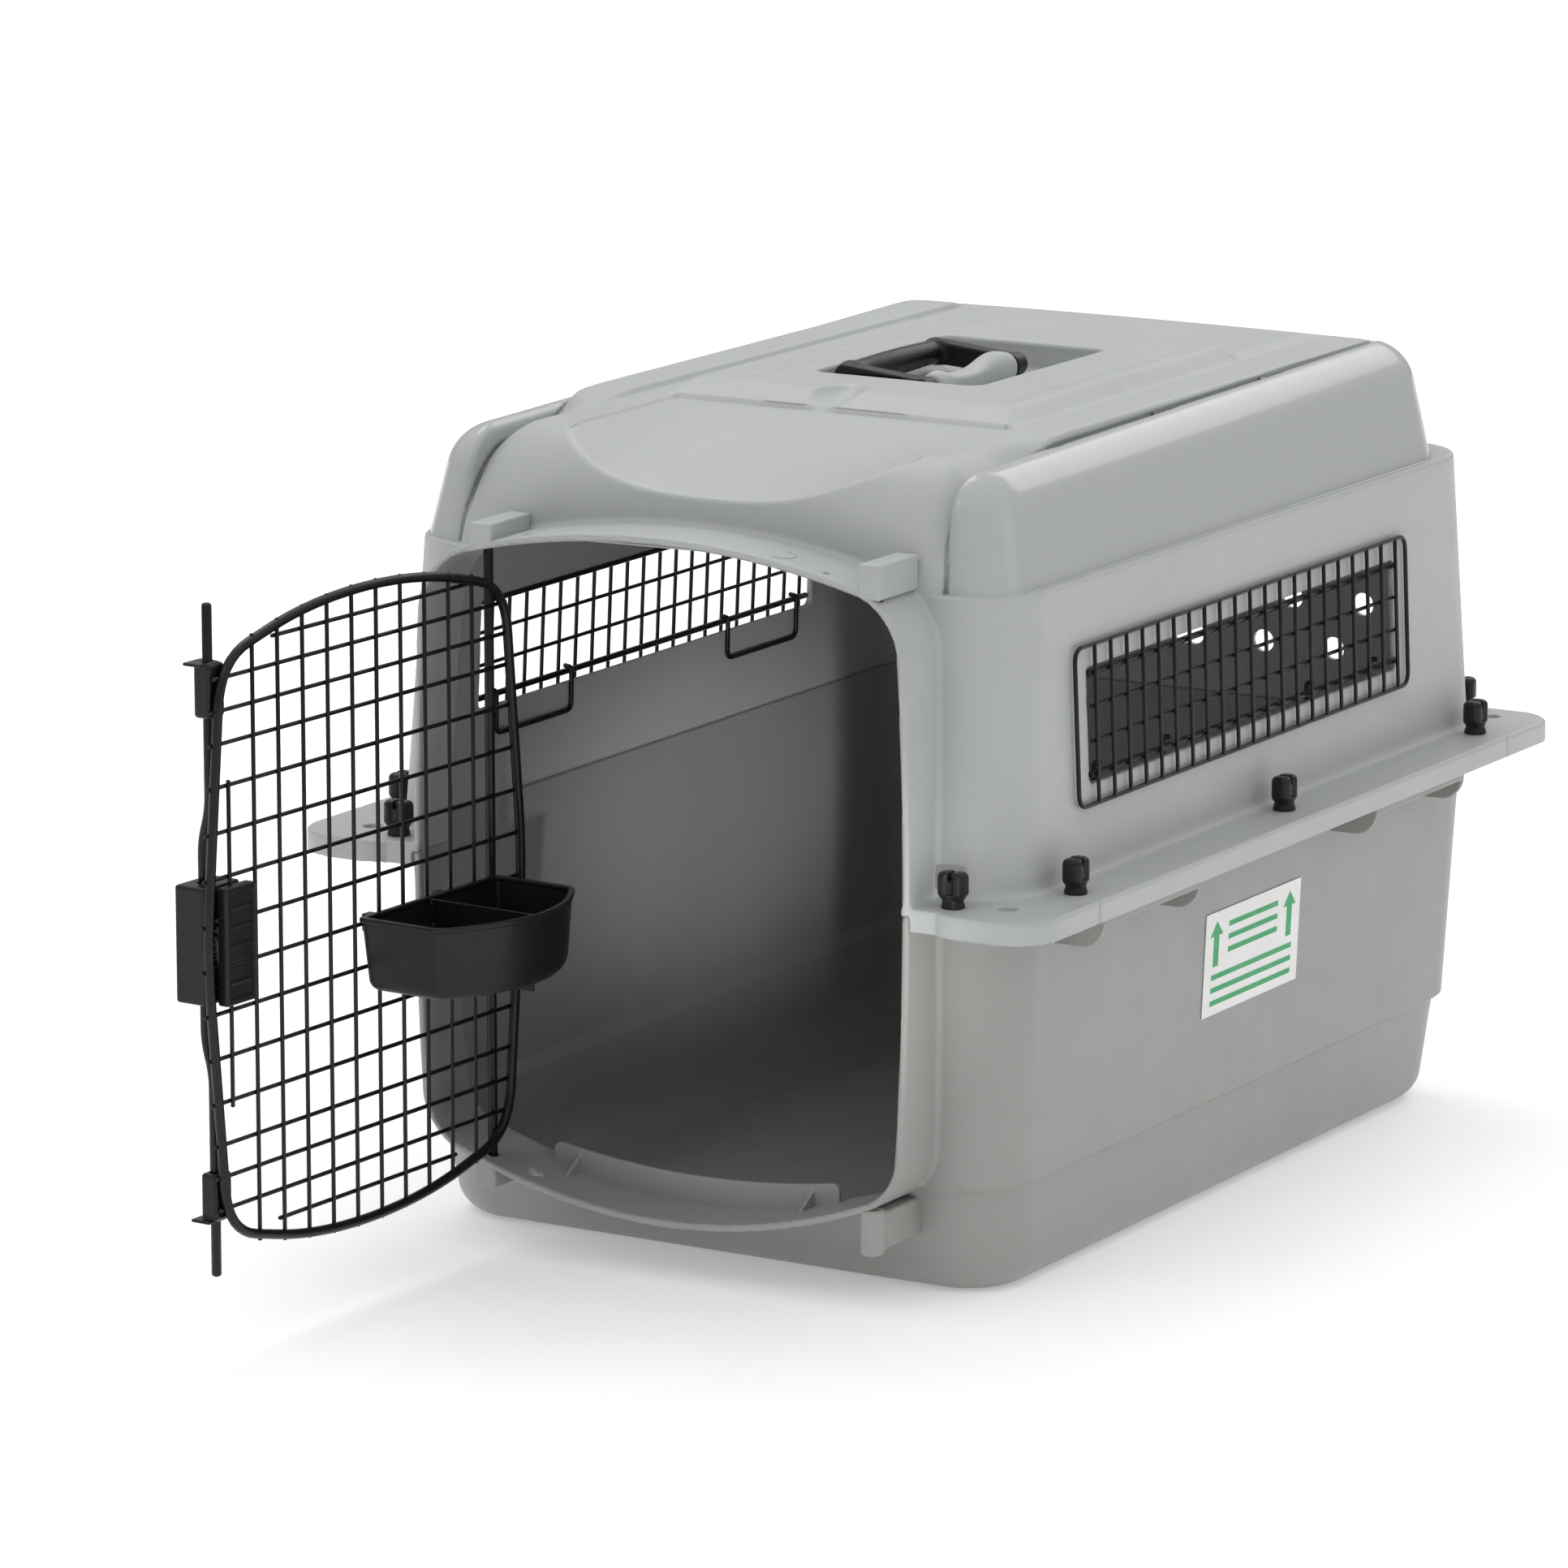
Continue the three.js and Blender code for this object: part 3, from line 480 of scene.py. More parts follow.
def sweep(path, radius, sides, closed):
    """Vertices and triangles of a round tube, with domed ends."""
    n = len(path)
    if closed:
        tangents = np.roll(path, -1, 0) - np.roll(path, 1, 0)
    else:
        tangents = np.gradient(path, axis=0)
    tangents /= np.maximum(np.linalg.norm(tangents, axis=1), 1e-9)[:, None]
    side = np.cross(tangents[0], (0, 0, 1) if abs(tangents[0][2]) < 0.9 else (1, 0, 0))
    side /= np.linalg.norm(side)
    across = []
    for tangent in tangents:
        side = side - tangent * (side @ tangent)
        side /= np.linalg.norm(side)
        across.append(side)
    twist = 0.0
    if closed:
        end = across[-1] - tangents[0] * (across[-1] @ tangents[0])
        end /= np.linalg.norm(end)
        twist = math.atan2(end @ np.cross(tangents[0], across[0]), end @ across[0])
    rings, centres, radii = [], list(path), [radius] * n
    order = list(range(n))
    if not closed:
        dome = [(0.0, 0.05), (0.15, 0.55), (0.5, 0.87)]
        centres = [path[0] - tangents[0] * radius * (1 - a) * 0.6 for a, _ in dome] + centres
        radii = [radius * b for _, b in dome] + radii
        centres += [path[-1] + tangents[-1] * radius * (1 - a) * 0.6 for a, _ in reversed(dome)]
        radii += [radius * b for _, b in reversed(dome)]
        order = [0] * len(dome) + order + [n - 1] * len(dome)
    angles = np.arange(sides) * 2 * math.pi / sides
    for step, (i, centre, r) in enumerate(zip(order, centres, radii)):
        s, t = across[i], np.cross(tangents[i], across[i])
        turn = angles - (twist * step / n if closed else 0)
        rings.append(centre + r * (np.cos(turn)[:, None] * s + np.sin(turn)[:, None] * t))
    vertices = np.concatenate(rings)
    count = len(rings)
    faces = []
    for i in range(count if closed else count - 1):
        a = i * sides + np.arange(sides)
        b = i * sides + (np.arange(sides) + 1) % sides
        c = (b + sides) % (count * sides)
        d = (a + sides) % (count * sides)
        faces += [np.stack([a, b, c], 1), np.stack([a, c, d], 1)]
    if not closed:
        last = (count - 1) * sides
        fan = np.arange(1, sides - 1)
        faces.append(np.stack([np.zeros_like(fan), fan + 1, fan], 1))
        faces.append(np.stack([np.full_like(fan, last), last + fan, last + fan + 1], 1))
    return vertices, np.concatenate(faces)


def wires(name, runs, axes=None, sides=12):
    """One object from several tubes. A run is (path, radius, closed)."""
    vertices, faces, total = [], [], 0
    for path, radius, closed in runs:
        v, f = sweep(np.array(path, float), radius, sides, closed)
        vertices.append(v)
        faces.append(f + total)
        total += len(v)
    vertices = np.concatenate(vertices)
    if axes:
        vertices = axes(vertices, 1.0)
    piece = bpy.data.objects.new(name, mesh_from(name, vertices * MM, np.concatenate(faces)))
    bpy.context.scene.collection.objects.link(piece)
    print(name, len(piece.data.polygons), "faces")
    return piece


def dress(piece, material, body, slot, *nodes):
    """Gives a piece its finish and its body, and lets it stand for its CAD nodes. A piece that comes
    with materials of its own keeps them."""
    if not piece.data.materials:
        piece.data.materials.append(material)
    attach(piece, body)
    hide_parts(*nodes)
    return piece


# ---------------------------------------------------------------- upper shell
SHELL = 4.6  # wall thickness
LEDGE = 428.5  # height where the glossy shoulders rise from the walls
DECK_TOP, ROOF_BASE = 510.0, 500.0
WELL_FLOOR = 494.0
DISH_X, DISH_HALF = 6.0, 119.0
DOOR_FRONT = -350.0
POD_SEAM = 167.5  # distance of each shoulder's inner edge from the middle
FLANGE_TOP = 250.0
SPLIT = 245.0  # height where the two shells meet
EAR_HOLE = (222.0, 330.0, -320.0)  # distance from the middle, rear and front place
VENT_HOLE_ROWS = ((284, (4, 56, 108)), (316, (26, 78, 130)), (348, (4, 56, 108)))


def doorway(x, z):
    """The arched doorway in the X-Z plane."""
    top = z - (450 - 19 * (x / 142) ** 2)
    bottom = (38 + 28 * (x / 142) ** 2) - z
    side = np.abs(x) - (168.5 - 4.5 * ((z - 248.5) / 152.5) ** 2)
    return round_max(np.maximum(top, bottom) * 0.97, side, np.where(z < 244, 18, 26))


def flange_outline(x, y):
    """The flange in plan: a rounded rectangle with an ear at each corner."""
    main = rect(x, y, -260.5, 260.5, -351, 350, 40)
    ears = rect(np.abs(x), np.abs(y), 178, 260.5, 200, 356, 30)
    return np.minimum(main, ears)


def roof_height(x, y):
    """Height of the roof over the matte core: rails, deck, rear band and the front apron."""
    ax = np.abs(x)
    rail = ramp((ax - 136) / 3, 0.3) * ramp((y + 215) / 60, 0.3) * ramp((268 - y) / 12, 0.3)
    side = (ax - 112) / 13
    front = (-118 - y) / 26
    back = (y - 150) / 8
    deck = 1 - ramp(smax(smax(side, front, 0.35), back, 0.35), 0.22)
    band = 1 - ramp(smax(smax((ax - 117) / 6, (158 - y) / 6, 0.3), (y - 262) / 14, 0.3), 0.25)
    crown = 1.2 * (1 - (x / 165) ** 2)
    height = ROOF_BASE + crown + 4.5 * rail + (DECK_TOP - ROOF_BASE - crown) * deck + 3 * band
    for line in (79, 83.5, 96, 100.5):
        across = np.abs(ax - line)
        along = np.maximum(y - 146, -112 - y)
        height = height - 0.9 * np.maximum(0, 1 - across / 1.5) * (along < 0)
    return height


def front_roll(x, y):
    """Radius of the roof edge: wide along the front, tighter at the sides, and middling at the back."""
    wide = 26 + 46 * np.minimum(np.abs(x) / 163, 1.1) ** 2
    at_front = ease((-140 - y) / 80)
    at_back = ease((y - 225) / 40)
    return 10 + (wide - 10) * at_front + 24 * at_back


def pods(x, y, z):
    """The glossy shoulder on each side of the roof: run on under the roof, and cut off at its seam."""
    ax = np.abs(x)
    outer = 207.5 - 0.2 * (z - 430)
    front = -300.5 + 0.16 * (z - 430)
    back = 291 - 0.1 * (z - 430)
    top = 500.3 + 0.014 * y
    wide = round_max(rect(ax, y, 60, outer, front, back, 36), z - top, 23)
    wide = np.maximum(wide, LEDGE - 6 - z)
    return wide, round_max(wide, POD_SEAM - 1.5 - ax, 6)


def core(x, y, z):
    """The matte middle of the roof and the front wall below it."""
    front = np.interp(z, [246, 427, 520], [-319, -306, -297])
    back = np.interp(z, [246, 427, 520], [334, 323, 306])
    half = np.interp(z, [246, 427, 520], [213, 200, 190])
    plan = rect(x, y, -half, half, front, back, 46)
    body = round_max(plan, (z - roof_height(x, y)) * 0.9, front_roll(x, y))
    fall = np.clip((-146 - y) / 150, 0, 1.3)
    away = np.abs(x - DISH_X)
    hollow = np.clip(1 - (away / DISH_HALF) ** 2.6, 0, 1)
    dish = 499.5 - 27 * fall * hollow
    in_dish = np.where((away < DISH_HALF) & (y < -140), (z - dish) * 0.95, -50)
    return smax(body, in_dish, 3.0)


def well(x, y, z):
    """The hollow in the deck that the handle folds into."""
    return np.maximum(rect(x, y, -60, 57, -64, 104, 9), WELL_FLOOR - z)


def top_mass(x, y, z):
    """The upper shell as filled bodies without the flange: lower walls, roof, shoulders, and all as one."""
    half = np.interp(z, [246, 427], [221, 213])
    front = np.interp(z, [246, 427], [-319, -306])
    back = np.interp(z, [246, 427], [334, 323])
    low = round_max(rect(x, y, -half, half, front, back, 47), z - LEDGE, 2.2)
    scoop = ellipsoid(x, y, z, (-10, -129, 516), (18, 36, 15))
    notch = ellipsoid(x, y, z, (-23, 148, 512), (9, 9, 7))
    roof = smax(core(x, y, z), -well(x, y, z), 2.5)
    roof = smax(roof, -np.minimum(scoop, notch), 2)
    middle = round_max(roof, np.abs(x) - POD_SEAM - 1.5, 3)
    wide, side = pods(x, y, z)
    filled = np.minimum(np.minimum(low, middle), np.minimum(side, np.maximum(wide, roof) + 5))
    return low, middle, side, filled


def boss(x, y, z):
    """The grey saddle in the well that the handle turns on."""
    bar = cylinder(x, z, y, 15, 503, 8.3, -46, 49, 2.5)
    foot = box(x, y, z, 7.5, 22.5, -44, 47, 488, 502, 3)
    hump = ellipsoid(x, y, z, (15, 30, 503), (9, 19, 11.5))
    front_hump = ellipsoid(x, y, z, (15, -38, 503), (9, 9, 9.5))
    dip = ellipsoid(x, y, z, (15, -8, 517), (14, 24, 9))
    body = smin(smin(bar, hump, 6), smin(foot, front_hump, 3), 3)
    body = smax(body, -dip, 5)
    front_socket = cylinder(x, z, y, 15, 503, 3.5, -50, -32, 0.3)
    rear_socket = cylinder(x, z, y, 15, 503, 3.5, 35, 55, 0.3)
    return np.maximum(body, -np.minimum(front_socket, rear_socket))


def rod_bores(x, y, z, z0, z1):
    """Where the ends of the hinge rod and the latch rod stand when the door is shut."""
    left = cylinder(x, y, z, -125, -338, 3.8, z0, z1, 0.2)
    right = cylinder(x, y, z, 145, -342.6, 3.8, z0, z1, 0.2)
    return np.minimum(left, right)


def sockets_above(x, y, z):
    """Blocks over the doorway that take the upper rod ends."""
    left = box(x, y, z, -131, -116, DOOR_FRONT, -304, 431, 452, 1.5)
    right = box(x, y, z, 138, 153, DOOR_FRONT, -304, 431, 452, 1.5)
    body = np.maximum(np.minimum(left, right), 0.6 - doorway(x, z))
    return smax(body, -rod_bores(x, y, z, 420, 446), 0.5)


def collar(x, y, z):
    """The rim that stands out round the doorway."""
    ring = round_max(doorway(x, z) - 4.5, DOOR_FRONT - y, 1.6)
    return round_max(ring, y + 285, 1)


def plaque_path():
    """A thin raised oval outline on top of the collar."""
    turn = np.linspace(0, 2 * math.pi, 96, endpoint=False)
    x = np.cos(turn) * 9 + np.sign(np.cos(turn)) * 84 - 8
    y = -333 + 9 * np.sin(turn)
    return np.stack([x, y, 450 - 19 * (x / 142) ** 2 + 4.6], 1)


def ear_holes(x, y, z):
    """Tie-down holes through the four ears of both flanges."""
    away, rear, front = EAR_HOLE
    round_hole = np.hypot(np.abs(x) - away, y - np.where(y > 0, rear, front)) - 6
    return np.maximum(round_hole, np.abs(z - SPLIT) - 12)


def top_flange(x, y, z):
    """The upper flange: a plate with a skirt, and a parting line across each ear."""
    outline = flange_outline(x, y)
    plate = round_max(round_max(outline, z - FLANGE_TOP, 2.2), 236 - z, 0.8)
    seam = np.maximum(np.abs(np.abs(y) - 276) - 0.6, -(outline + 1.0))
    plate = np.maximum(plate, -np.maximum(seam, 178 - np.abs(x)))
    return smax(plate, -np.maximum(outline + 3.2, z - SPLIT), 0.8)


def top_cuts(solid, x, y, z):
    """The doorway, vent windows, round vent holes and screw holes taken out of the upper shell."""
    solid = smax(solid, -np.maximum(doorway(x, z), y + 262), 1.2)
    window = np.maximum(rect(y, z, -212, 196, 304, 374, 4), 120 - np.abs(x))
    solid = smax(solid, -window, 1.2)
    for height, places in VENT_HOLE_ROWS:
        for place in places:
            hole = np.maximum(np.hypot(np.abs(x) - place, z - height) - 7.5, 290 - y)
            solid = smax(solid, -hole, 1.2)
    solid = smax(solid, -ear_holes(x, y, z), 1.2)
    screws = np.hypot(np.abs(x) - 112, y + 341) - 2.0
    solid = smax(solid, -np.maximum(screws, 400 - z), 0.6)
    return np.maximum(solid, -rod_bores(x, y, z, 380, 446))


def top_shell_sdf(x, y, z):
    low, middle, side, filled = top_mass(x, y, z)
    near_seam = np.hypot(middle, side)
    cavity = np.maximum(filled + SHELL, np.minimum(7 - near_seam, filled + 9))
    solid = np.minimum(np.minimum(low, middle), side)
    seam = np.maximum(near_seam - 1.6, LEDGE - z)
    solid = smax(solid, -seam, 1.2)
    solid = np.maximum(solid, FLANGE_TOP - 3 - z)
    solid = smin(solid, top_flange(x, y, z), 7)
    solid = smin(solid, np.maximum(collar(x, y, z), 245.2 - z), 4)
    solid = smax(solid, -np.maximum(cavity, 200 - z), 1.0)
    solid = top_cuts(solid, x, y, z)
    sill_room = np.maximum(np.maximum(doorway(x, z) - 5.2, z - 245.1), y + 300)
    return np.maximum(solid, -sill_room)


def fittings(parts, material, slot, node):
    """Thin details of a shell, meshed finer than the shell that they are moulded with."""
    for name, shape, low, high, h in parts:
        fitting = moulding(name, shape, low, high, h, 60_000)
        dress(fitting, material, "carrier", slot, node)


def make_top_shell(matte, glossy):
    piece = moulding("top_shell_skin", top_shell_sdf, (-268, -364, 228), (268, 364, 520), 2.0)
    mesh = piece.data
    mesh.materials.append(matte)
    mesh.materials.append(glossy)
    centres = np.zeros(len(mesh.polygons) * 3, np.float32)
    mesh.polygons.foreach_get("center", centres)
    centres = centres.reshape(-1, 3) / MM
    shoulder = evaluate(lambda x, y, z: pods(x, y, z)[1], centres)
    chosen = (np.abs(shoulder) < 0.6) & (centres[:, 2] > LEDGE - 3)
    mesh.polygons.foreach_set("material_index", chosen.astype(np.int32))
    dress(piece, matte, "carrier", "top_plastic", "top_shell")
    parts = (
        ("handle_saddle_skin", boss, (-4, -56, 484), (34, 56, 520), 0.9),
        ("upper_rod_blocks_skin", sockets_above, (-136, -355, 426), (158, -300, 456), 1.1),
    )
    fittings(parts, matte, "top_plastic", "top_shell")
    outline = wires("doorway_plaque_skin", [(plaque_path(), 0.8, True)])
    dress(outline, matte, "carrier", "top_plastic", "top_shell")


# ---------------------------------------------------------------- lower shell
def base_mass(x, y, z):
    """The lower shell as a filled body, with a small step out at a height of 70."""
    half = np.interp(z, [0, 20, 66.5, 70.5, 242], [200.5, 201.5, 205, 210, 218])
    front = np.interp(z, [0, 20, 66.5, 70.5, 242], [-291, -292, -302, -307, -316])
    back = np.interp(z, [0, 20, 66.5, 70.5, 242], [311, 312, 320, 324, 331])
    return round_max(rect(x, y, -half, half, front, back, 46), -z, 20)


def base_cavity(x, y, z):
    """The room inside the lower shell, with a wide bend between floor and walls."""
    half = np.interp(z, [0, 66.5, 74.5, 242], [193, 200.5, 205, 213.4])
    front = np.interp(z, [0, 66.5, 74.5, 242], [-284, -297, -302, -311.4])
    back = np.interp(z, [0, 66.5, 74.5, 242], [303, 315, 319, 326.4])
    return round_max(rect(x, y, -half, half, front, back, 42), SHELL - z, 30)


def grips(x, y, z):
    """Ribs and hanging lips of the four lift grips."""
    ax = np.abs(x)
    found = np.full(x.shape, 50, np.float32)
    corner = round_max(ax - 250, 214.5 - z, 16)
    slab = np.maximum(np.maximum(corner, z - 243), 214.8 - ax)
    for y0, y1 in ((-250, -129), (110, 233)):
        for rib in (y0, y1):
            found = np.minimum(found, round_max(slab, np.abs(y - rib) - 1.6, 0.6))
        found = np.minimum(found, box(ax, y, z, 246.8, 250, y0, y1, 228, 243, 0.8))
    return found


def sill(x, y, z):
    """The upright lip behind the doorway's bottom edge, with a gusset near each end."""
    plate = 38 + 28 * (x / 142) ** 2
    top = 55 + 8.9 * (x / 100) ** 2
    lip = np.maximum(round_max(z - top, np.abs(x) - 101, 6), plate - 4 - z)
    lip = round_max(lip, np.abs(y + 304.6) - 1.7, 0.6)
    fall = z - top + 3 - 0.62 * (y + 305)
    fin = np.maximum(np.abs(np.abs(x) - 82.5) - 1.3, y + 304)
    gusset = np.maximum(np.maximum(fall * 0.85, plate - 4 - z), fin)
    return smin(lip, gusset, 1)


def bottom_shell_sdf(x, y, z):
    mass = base_mass(x, y, z)
    solid = np.maximum(mass, z - 244.6)
    plate = round_max(flange_outline(x, y) + 3.6, np.abs(z - 242.5) - 2.1, 0.8)
    solid = smin(solid, plate, 5)
    ring = np.maximum(collar(x, y, z), z - 244.6)
    solid = smin(solid, ring, 4)
    solid = smax(solid, -base_cavity(x, y, z), 1.0)
    solid = smax(solid, -np.maximum(doorway(x, z), y + 262), 1.2)
    runner = np.abs(np.abs(x) - 146) - 12
    notch = np.maximum(runner, np.maximum(z - 5, y + 288))
    solid = smax(solid, -np.minimum(np.maximum(runner, z - 1.4), notch), 1.0)
    solid = smax(solid, -ear_holes(x, y, z), 1.2)
    slot = rect(x, y, -103, -91, -339, -331, 3.8)
    solid = smax(solid, -np.maximum(slot, np.abs(z - 52) - 14), 0.6)
    return np.maximum(solid, -rod_bores(x, y, z, 43.5, 80))


def sockets_below(x, y, z):
    """Round-nosed blocks below the doorway that take the lower rod ends."""
    left = box(x, y, z, -131, -116, DOOR_FRONT, -296, 41, 61, 1.5)
    nose = round_max(np.hypot(x - 145, y + 343) - 7, np.abs(z - 49) - 14, 1.5)
    arm = box(x, y, z, 140, 152, -343, -296, 38, 61, 1.5)
    body = np.maximum(np.minimum(left, smin(nose, arm, 3)), 0.6 - doorway(x, z))
    return smax(body, -rod_bores(x, y, z, 43.5, 80), 0.5)


def make_bottom_shell(material):
    low, high = (-268, -364, -8), (268, 364, 256)
    piece = moulding("bottom_shell_skin", bottom_shell_sdf, low, high, 2.2, 150_000)
    dress(piece, material, "carrier", "base_plastic", "bottom_shell")
    parts = (
        ("sill_lip_skin", sill, (-106, -334, 30), (106, -298, 78), 0.9),
        ("lower_rod_blocks_skin", sockets_below, (-136, -355, 30), (158, -292, 66), 1.1),
        ("lift_grips_right_skin", grips, (203, -256, 206), (256, 240, 247), 1.2),
        ("lift_grips_left_skin", grips, (-256, -256, 206), (-203, 240, 247), 1.2),
    )
    fittings(parts, material, "base_plastic", "bottom_shell")


# ---------------------------------------------------------------- fasteners
SITES = {
    "front_right": (194, -334), "front_left": (-194, -334), "right_front": (237.6, -264),
    "left_front": (-237.6, -264), "right_middle": (237.6, 5), "left_middle": (-237.6, 5),
    "right_rear": (237.6, 275), "left_rear": (-237.6, 275), "rear_right": (196, 341),
    "rear_left": (-196, 341),
}
NUT_SEAT = 250.3


def wing_nut_sdf(x, y, z):
    """A two-armed knob: round stem below, slotted head above."""
    h = z - NUT_SEAT
    stem = round_max(np.hypot(x, y) - (7.4 - 0.28 * h), np.abs(h - 6) - 6, 0.8)
    head = round_max(rect(x, y, -9.2, 9.2, -6.4, 6.4, 5.5), np.abs(h - 13.4) - 8, 3.4)
    waist = np.hypot(np.abs(x) - 9.6, h - 5.4) - 2.6
    head = smax(head, -waist, 1.2)
    body = smin(stem, head, 2.5)
    slot = np.maximum(np.abs(x) - 1.1, 16.4 - h)
    body = smax(body, -slot, 0.8)
    side = np.maximum(np.hypot(x, np.abs(y) - 9.2) - 4.4, 8.4 - h)
    body = smax(body, -side, 0.8)
    return np.maximum(body, -np.maximum(np.hypot(x, y) - 3.5, h - 13.2))


def bolt_sdf(x, y, z):
    """A hexagon head with rounded corners below both flanges and a threaded shank through them."""
    angle = np.arctan2(y, x)
    sector = np.mod(angle, math.pi / 3) - math.pi / 6
    flat = np.hypot(x, y) * np.cos(sector) - 5.9
    head = round_max(flat, np.abs(z - 238) - 2.0, 0.5)
    head = smax(head, np.hypot(x, y) + (235 - z) * -0.9 - 8.4, 0.4)
    thread = np.hypot(x, y) - 2.85 - 0.22 * np.cos(2 * math.pi * z / 1.0 + angle)
    shank = np.maximum(thread * 0.6, np.abs(z - 250) - 13.5)
    return np.minimum(head, shank)


def make_fasteners(black, zinc):
    nut = moulding("wing_nut_pattern", wing_nut_sdf, (-13, -13, 247), (13, 13, 276), 0.55, 9000)
    screw = moulding("bolt_pattern", bolt_sdf, (-9, -9, 233), (9, 9, 266), 0.5, 5000)
    for site, (x, y) in SITES.items():
        turn = 0 if site.startswith(("front", "rear")) else math.pi / 2
        for pattern, name, material, slot, angle in (
            (nut, "wing_nut_", black, "black_plastic", turn),
            (screw, "bolt_", zinc, "zinc_steel", 0),
        ):
            copy = bpy.data.objects.new(name + site + "_skin", pattern.data.copy())
            bpy.context.scene.collection.objects.link(copy)
            copy.location = (x * MM, y * MM, 0)
            copy.rotation_euler = (0, 0, angle)
            dress(copy, material, "carrier", slot, name + site)
    for pattern in (nut, screw):
        bpy.data.objects.remove(pattern)


# ---------------------------------------------------------------- handle
def handle_sdf(x, y, z):
    from_bar = np.hypot(x + 40, z - 507.5)
    bar = round_max(from_bar - 7.6, np.abs(y - 1.5) - 57, 3)
    swell = from_bar - (8.3 - ((y - 1.5) / 52) ** 2 * 1.2)
    bar = np.minimum(bar, np.maximum(swell, np.abs(y - 1.5) - 52))
    arms = np.full(x.shape, 50, np.float32)
    t = np.clip((x + 40) / 55, 0, 1)
    middle_z = 507.5 + (503 - 507.5) * t
    half = 7.6 - 0.8 * t
    for centre in (-55, 58):
        side = np.hypot(x - np.clip(x, -40, 15), z - middle_z) - half
        arms = np.minimum(arms, round_max(side, np.abs(y - centre) - 5.9, 2.2))
        boss_end = round_max(np.hypot(x - 15, z - 503) - 7.4, np.abs(y - centre) - 6, 1)
        arms = np.minimum(arms, boss_end)
    body = smin(bar, arms, 5)
    rib = np.maximum(np.abs(np.mod(y - 1.5 + 4, 8) - 4) - 0.5, np.abs(y - 1.5) - 40)
    body = body + 0.35 * np.clip(1 - np.maximum(rib, 0) / 0.8, 0, 1) * (z < 503)
    panel = rect(x, z, -30, 4, 500.5, 509.5, 4)
    for centre, out in ((-55, -1), (58, 1)):
        recess = np.maximum(panel, np.abs(y - (centre + out * 6.0)) - 0.9)
        body = smax(body, -recess, 0.8)
    pin = np.hypot(x - 15, z - 503) - 3.3
    return np.maximum(body, -pin)


def pin_sdf(front):
    y0, y1 = (-61, -49) if front else (52, 64)
    shank = (y0 - 0.3, -34) if front else (37, y1 + 0.3)
    head = (y0 - 2.3, y0 - 0.3) if front else (y1 + 0.3, y1 + 2.3)

    def shape(x, y, z):
        body = cylinder(x, z, y, 15, 503, 3, *shank, 0.5)
        cap = cylinder(x, z, y, 15, 503, 5, *head, 0.9)
        outer = head[0] if front else head[1]
        cross = np.minimum(rect(x, z, 14.4, 15.6, 500, 506, 0.3), rect(x, z, 12, 18, 502.4, 503.6, 0.3))
        recess = np.maximum(cross, np.abs(y - outer) - 0.8)
        return smax(np.minimum(body, cap), -recess, 0.3)

    return shape


def make_handle(black):
    piece = moulding("carry_handle_skin", handle_sdf, (-53, -66, 490), (27, 70, 520), 0.9, 60_000)
    dress(piece, black, "handle", "black_plastic", "carry_handle")
    for site, front in (("front", True), ("rear", False)):
        low, high = ((6, -67, 494), (24, -30, 512)) if front else ((6, 33, 494), (24, 70, 512))
        pin = moulding("handle_pin_" + site + "_skin", pin_sdf(front), low, high, 0.5, 9000)
        dress(pin, black, "handle", "black_plastic", "handle_pin_" + site)


# ---------------------------------------------------------------- door
HINGE = (-125.0, -338.0)
OPEN = math.radians(-93)


def door_axes(points, weight):
    """From the door's own axes (along, out, up) to the frame's."""
    u, w, z = points[:, 0], points[:, 1], points[:, 2]
    c, s = math.cos(OPEN), math.sin(OPEN)
    return np.stack([HINGE[0] * weight + u * c - w * s, HINGE[1] * weight + u * s + w * c, z], 1)


CENTRE, HALF_TOP, HALF_MID, MID_Z, TOP_Z, BOTTOM_Z = 130, 140, 156, 241, 433, 49.5
ROWS = sorted(243 + side * d for d in (13.3, 40, 66.8, 93.5, 118.7, 138.1, 157.2) for side in (-1, 1))
LATCH_U, ROD_W, BOX_W = 270, -4.6, -10


def half_width(z):
    reach = (TOP_Z - 22 if z > MID_Z else BOTTOM_Z + 22) - MID_Z
    t = min(abs((z - MID_Z) / reach), 1)
    return HALF_MID + (HALF_TOP - HALF_MID) * t


def frame_edge(u, top):
    t = (u - CENTRE) / HALF_TOP
    return TOP_Z - 22 * t * t if top else BOTTOM_Z + 22 * t * t


def door_frame_path():
    """The arched top, bowed sides and round corners of the door's frame."""
    near = (-0.55, -0.3, 0, 0.3, 0.55)
    heights = (355, 300, MID_Z, 182, 127)
    points = [(CENTRE + t * HALF_TOP, frame_edge(CENTRE + t * HALF_TOP, True)) for t in (-1, *near, 1)]
    points += [(CENTRE + half_width(z), z) for z in heights]
    points += [(CENTRE - t * HALF_TOP, frame_edge(CENTRE - t * HALF_TOP, False)) for t in (-1, *near, 1)]
    points += [(CENTRE - half_width(z), z) for z in reversed(heights)]
    return rounded_path([(u, 4.6, z) for u, z in points], 32, closed=True, steps=8)


def straight(a, b, steps=2):
    return np.linspace(a, b, steps)


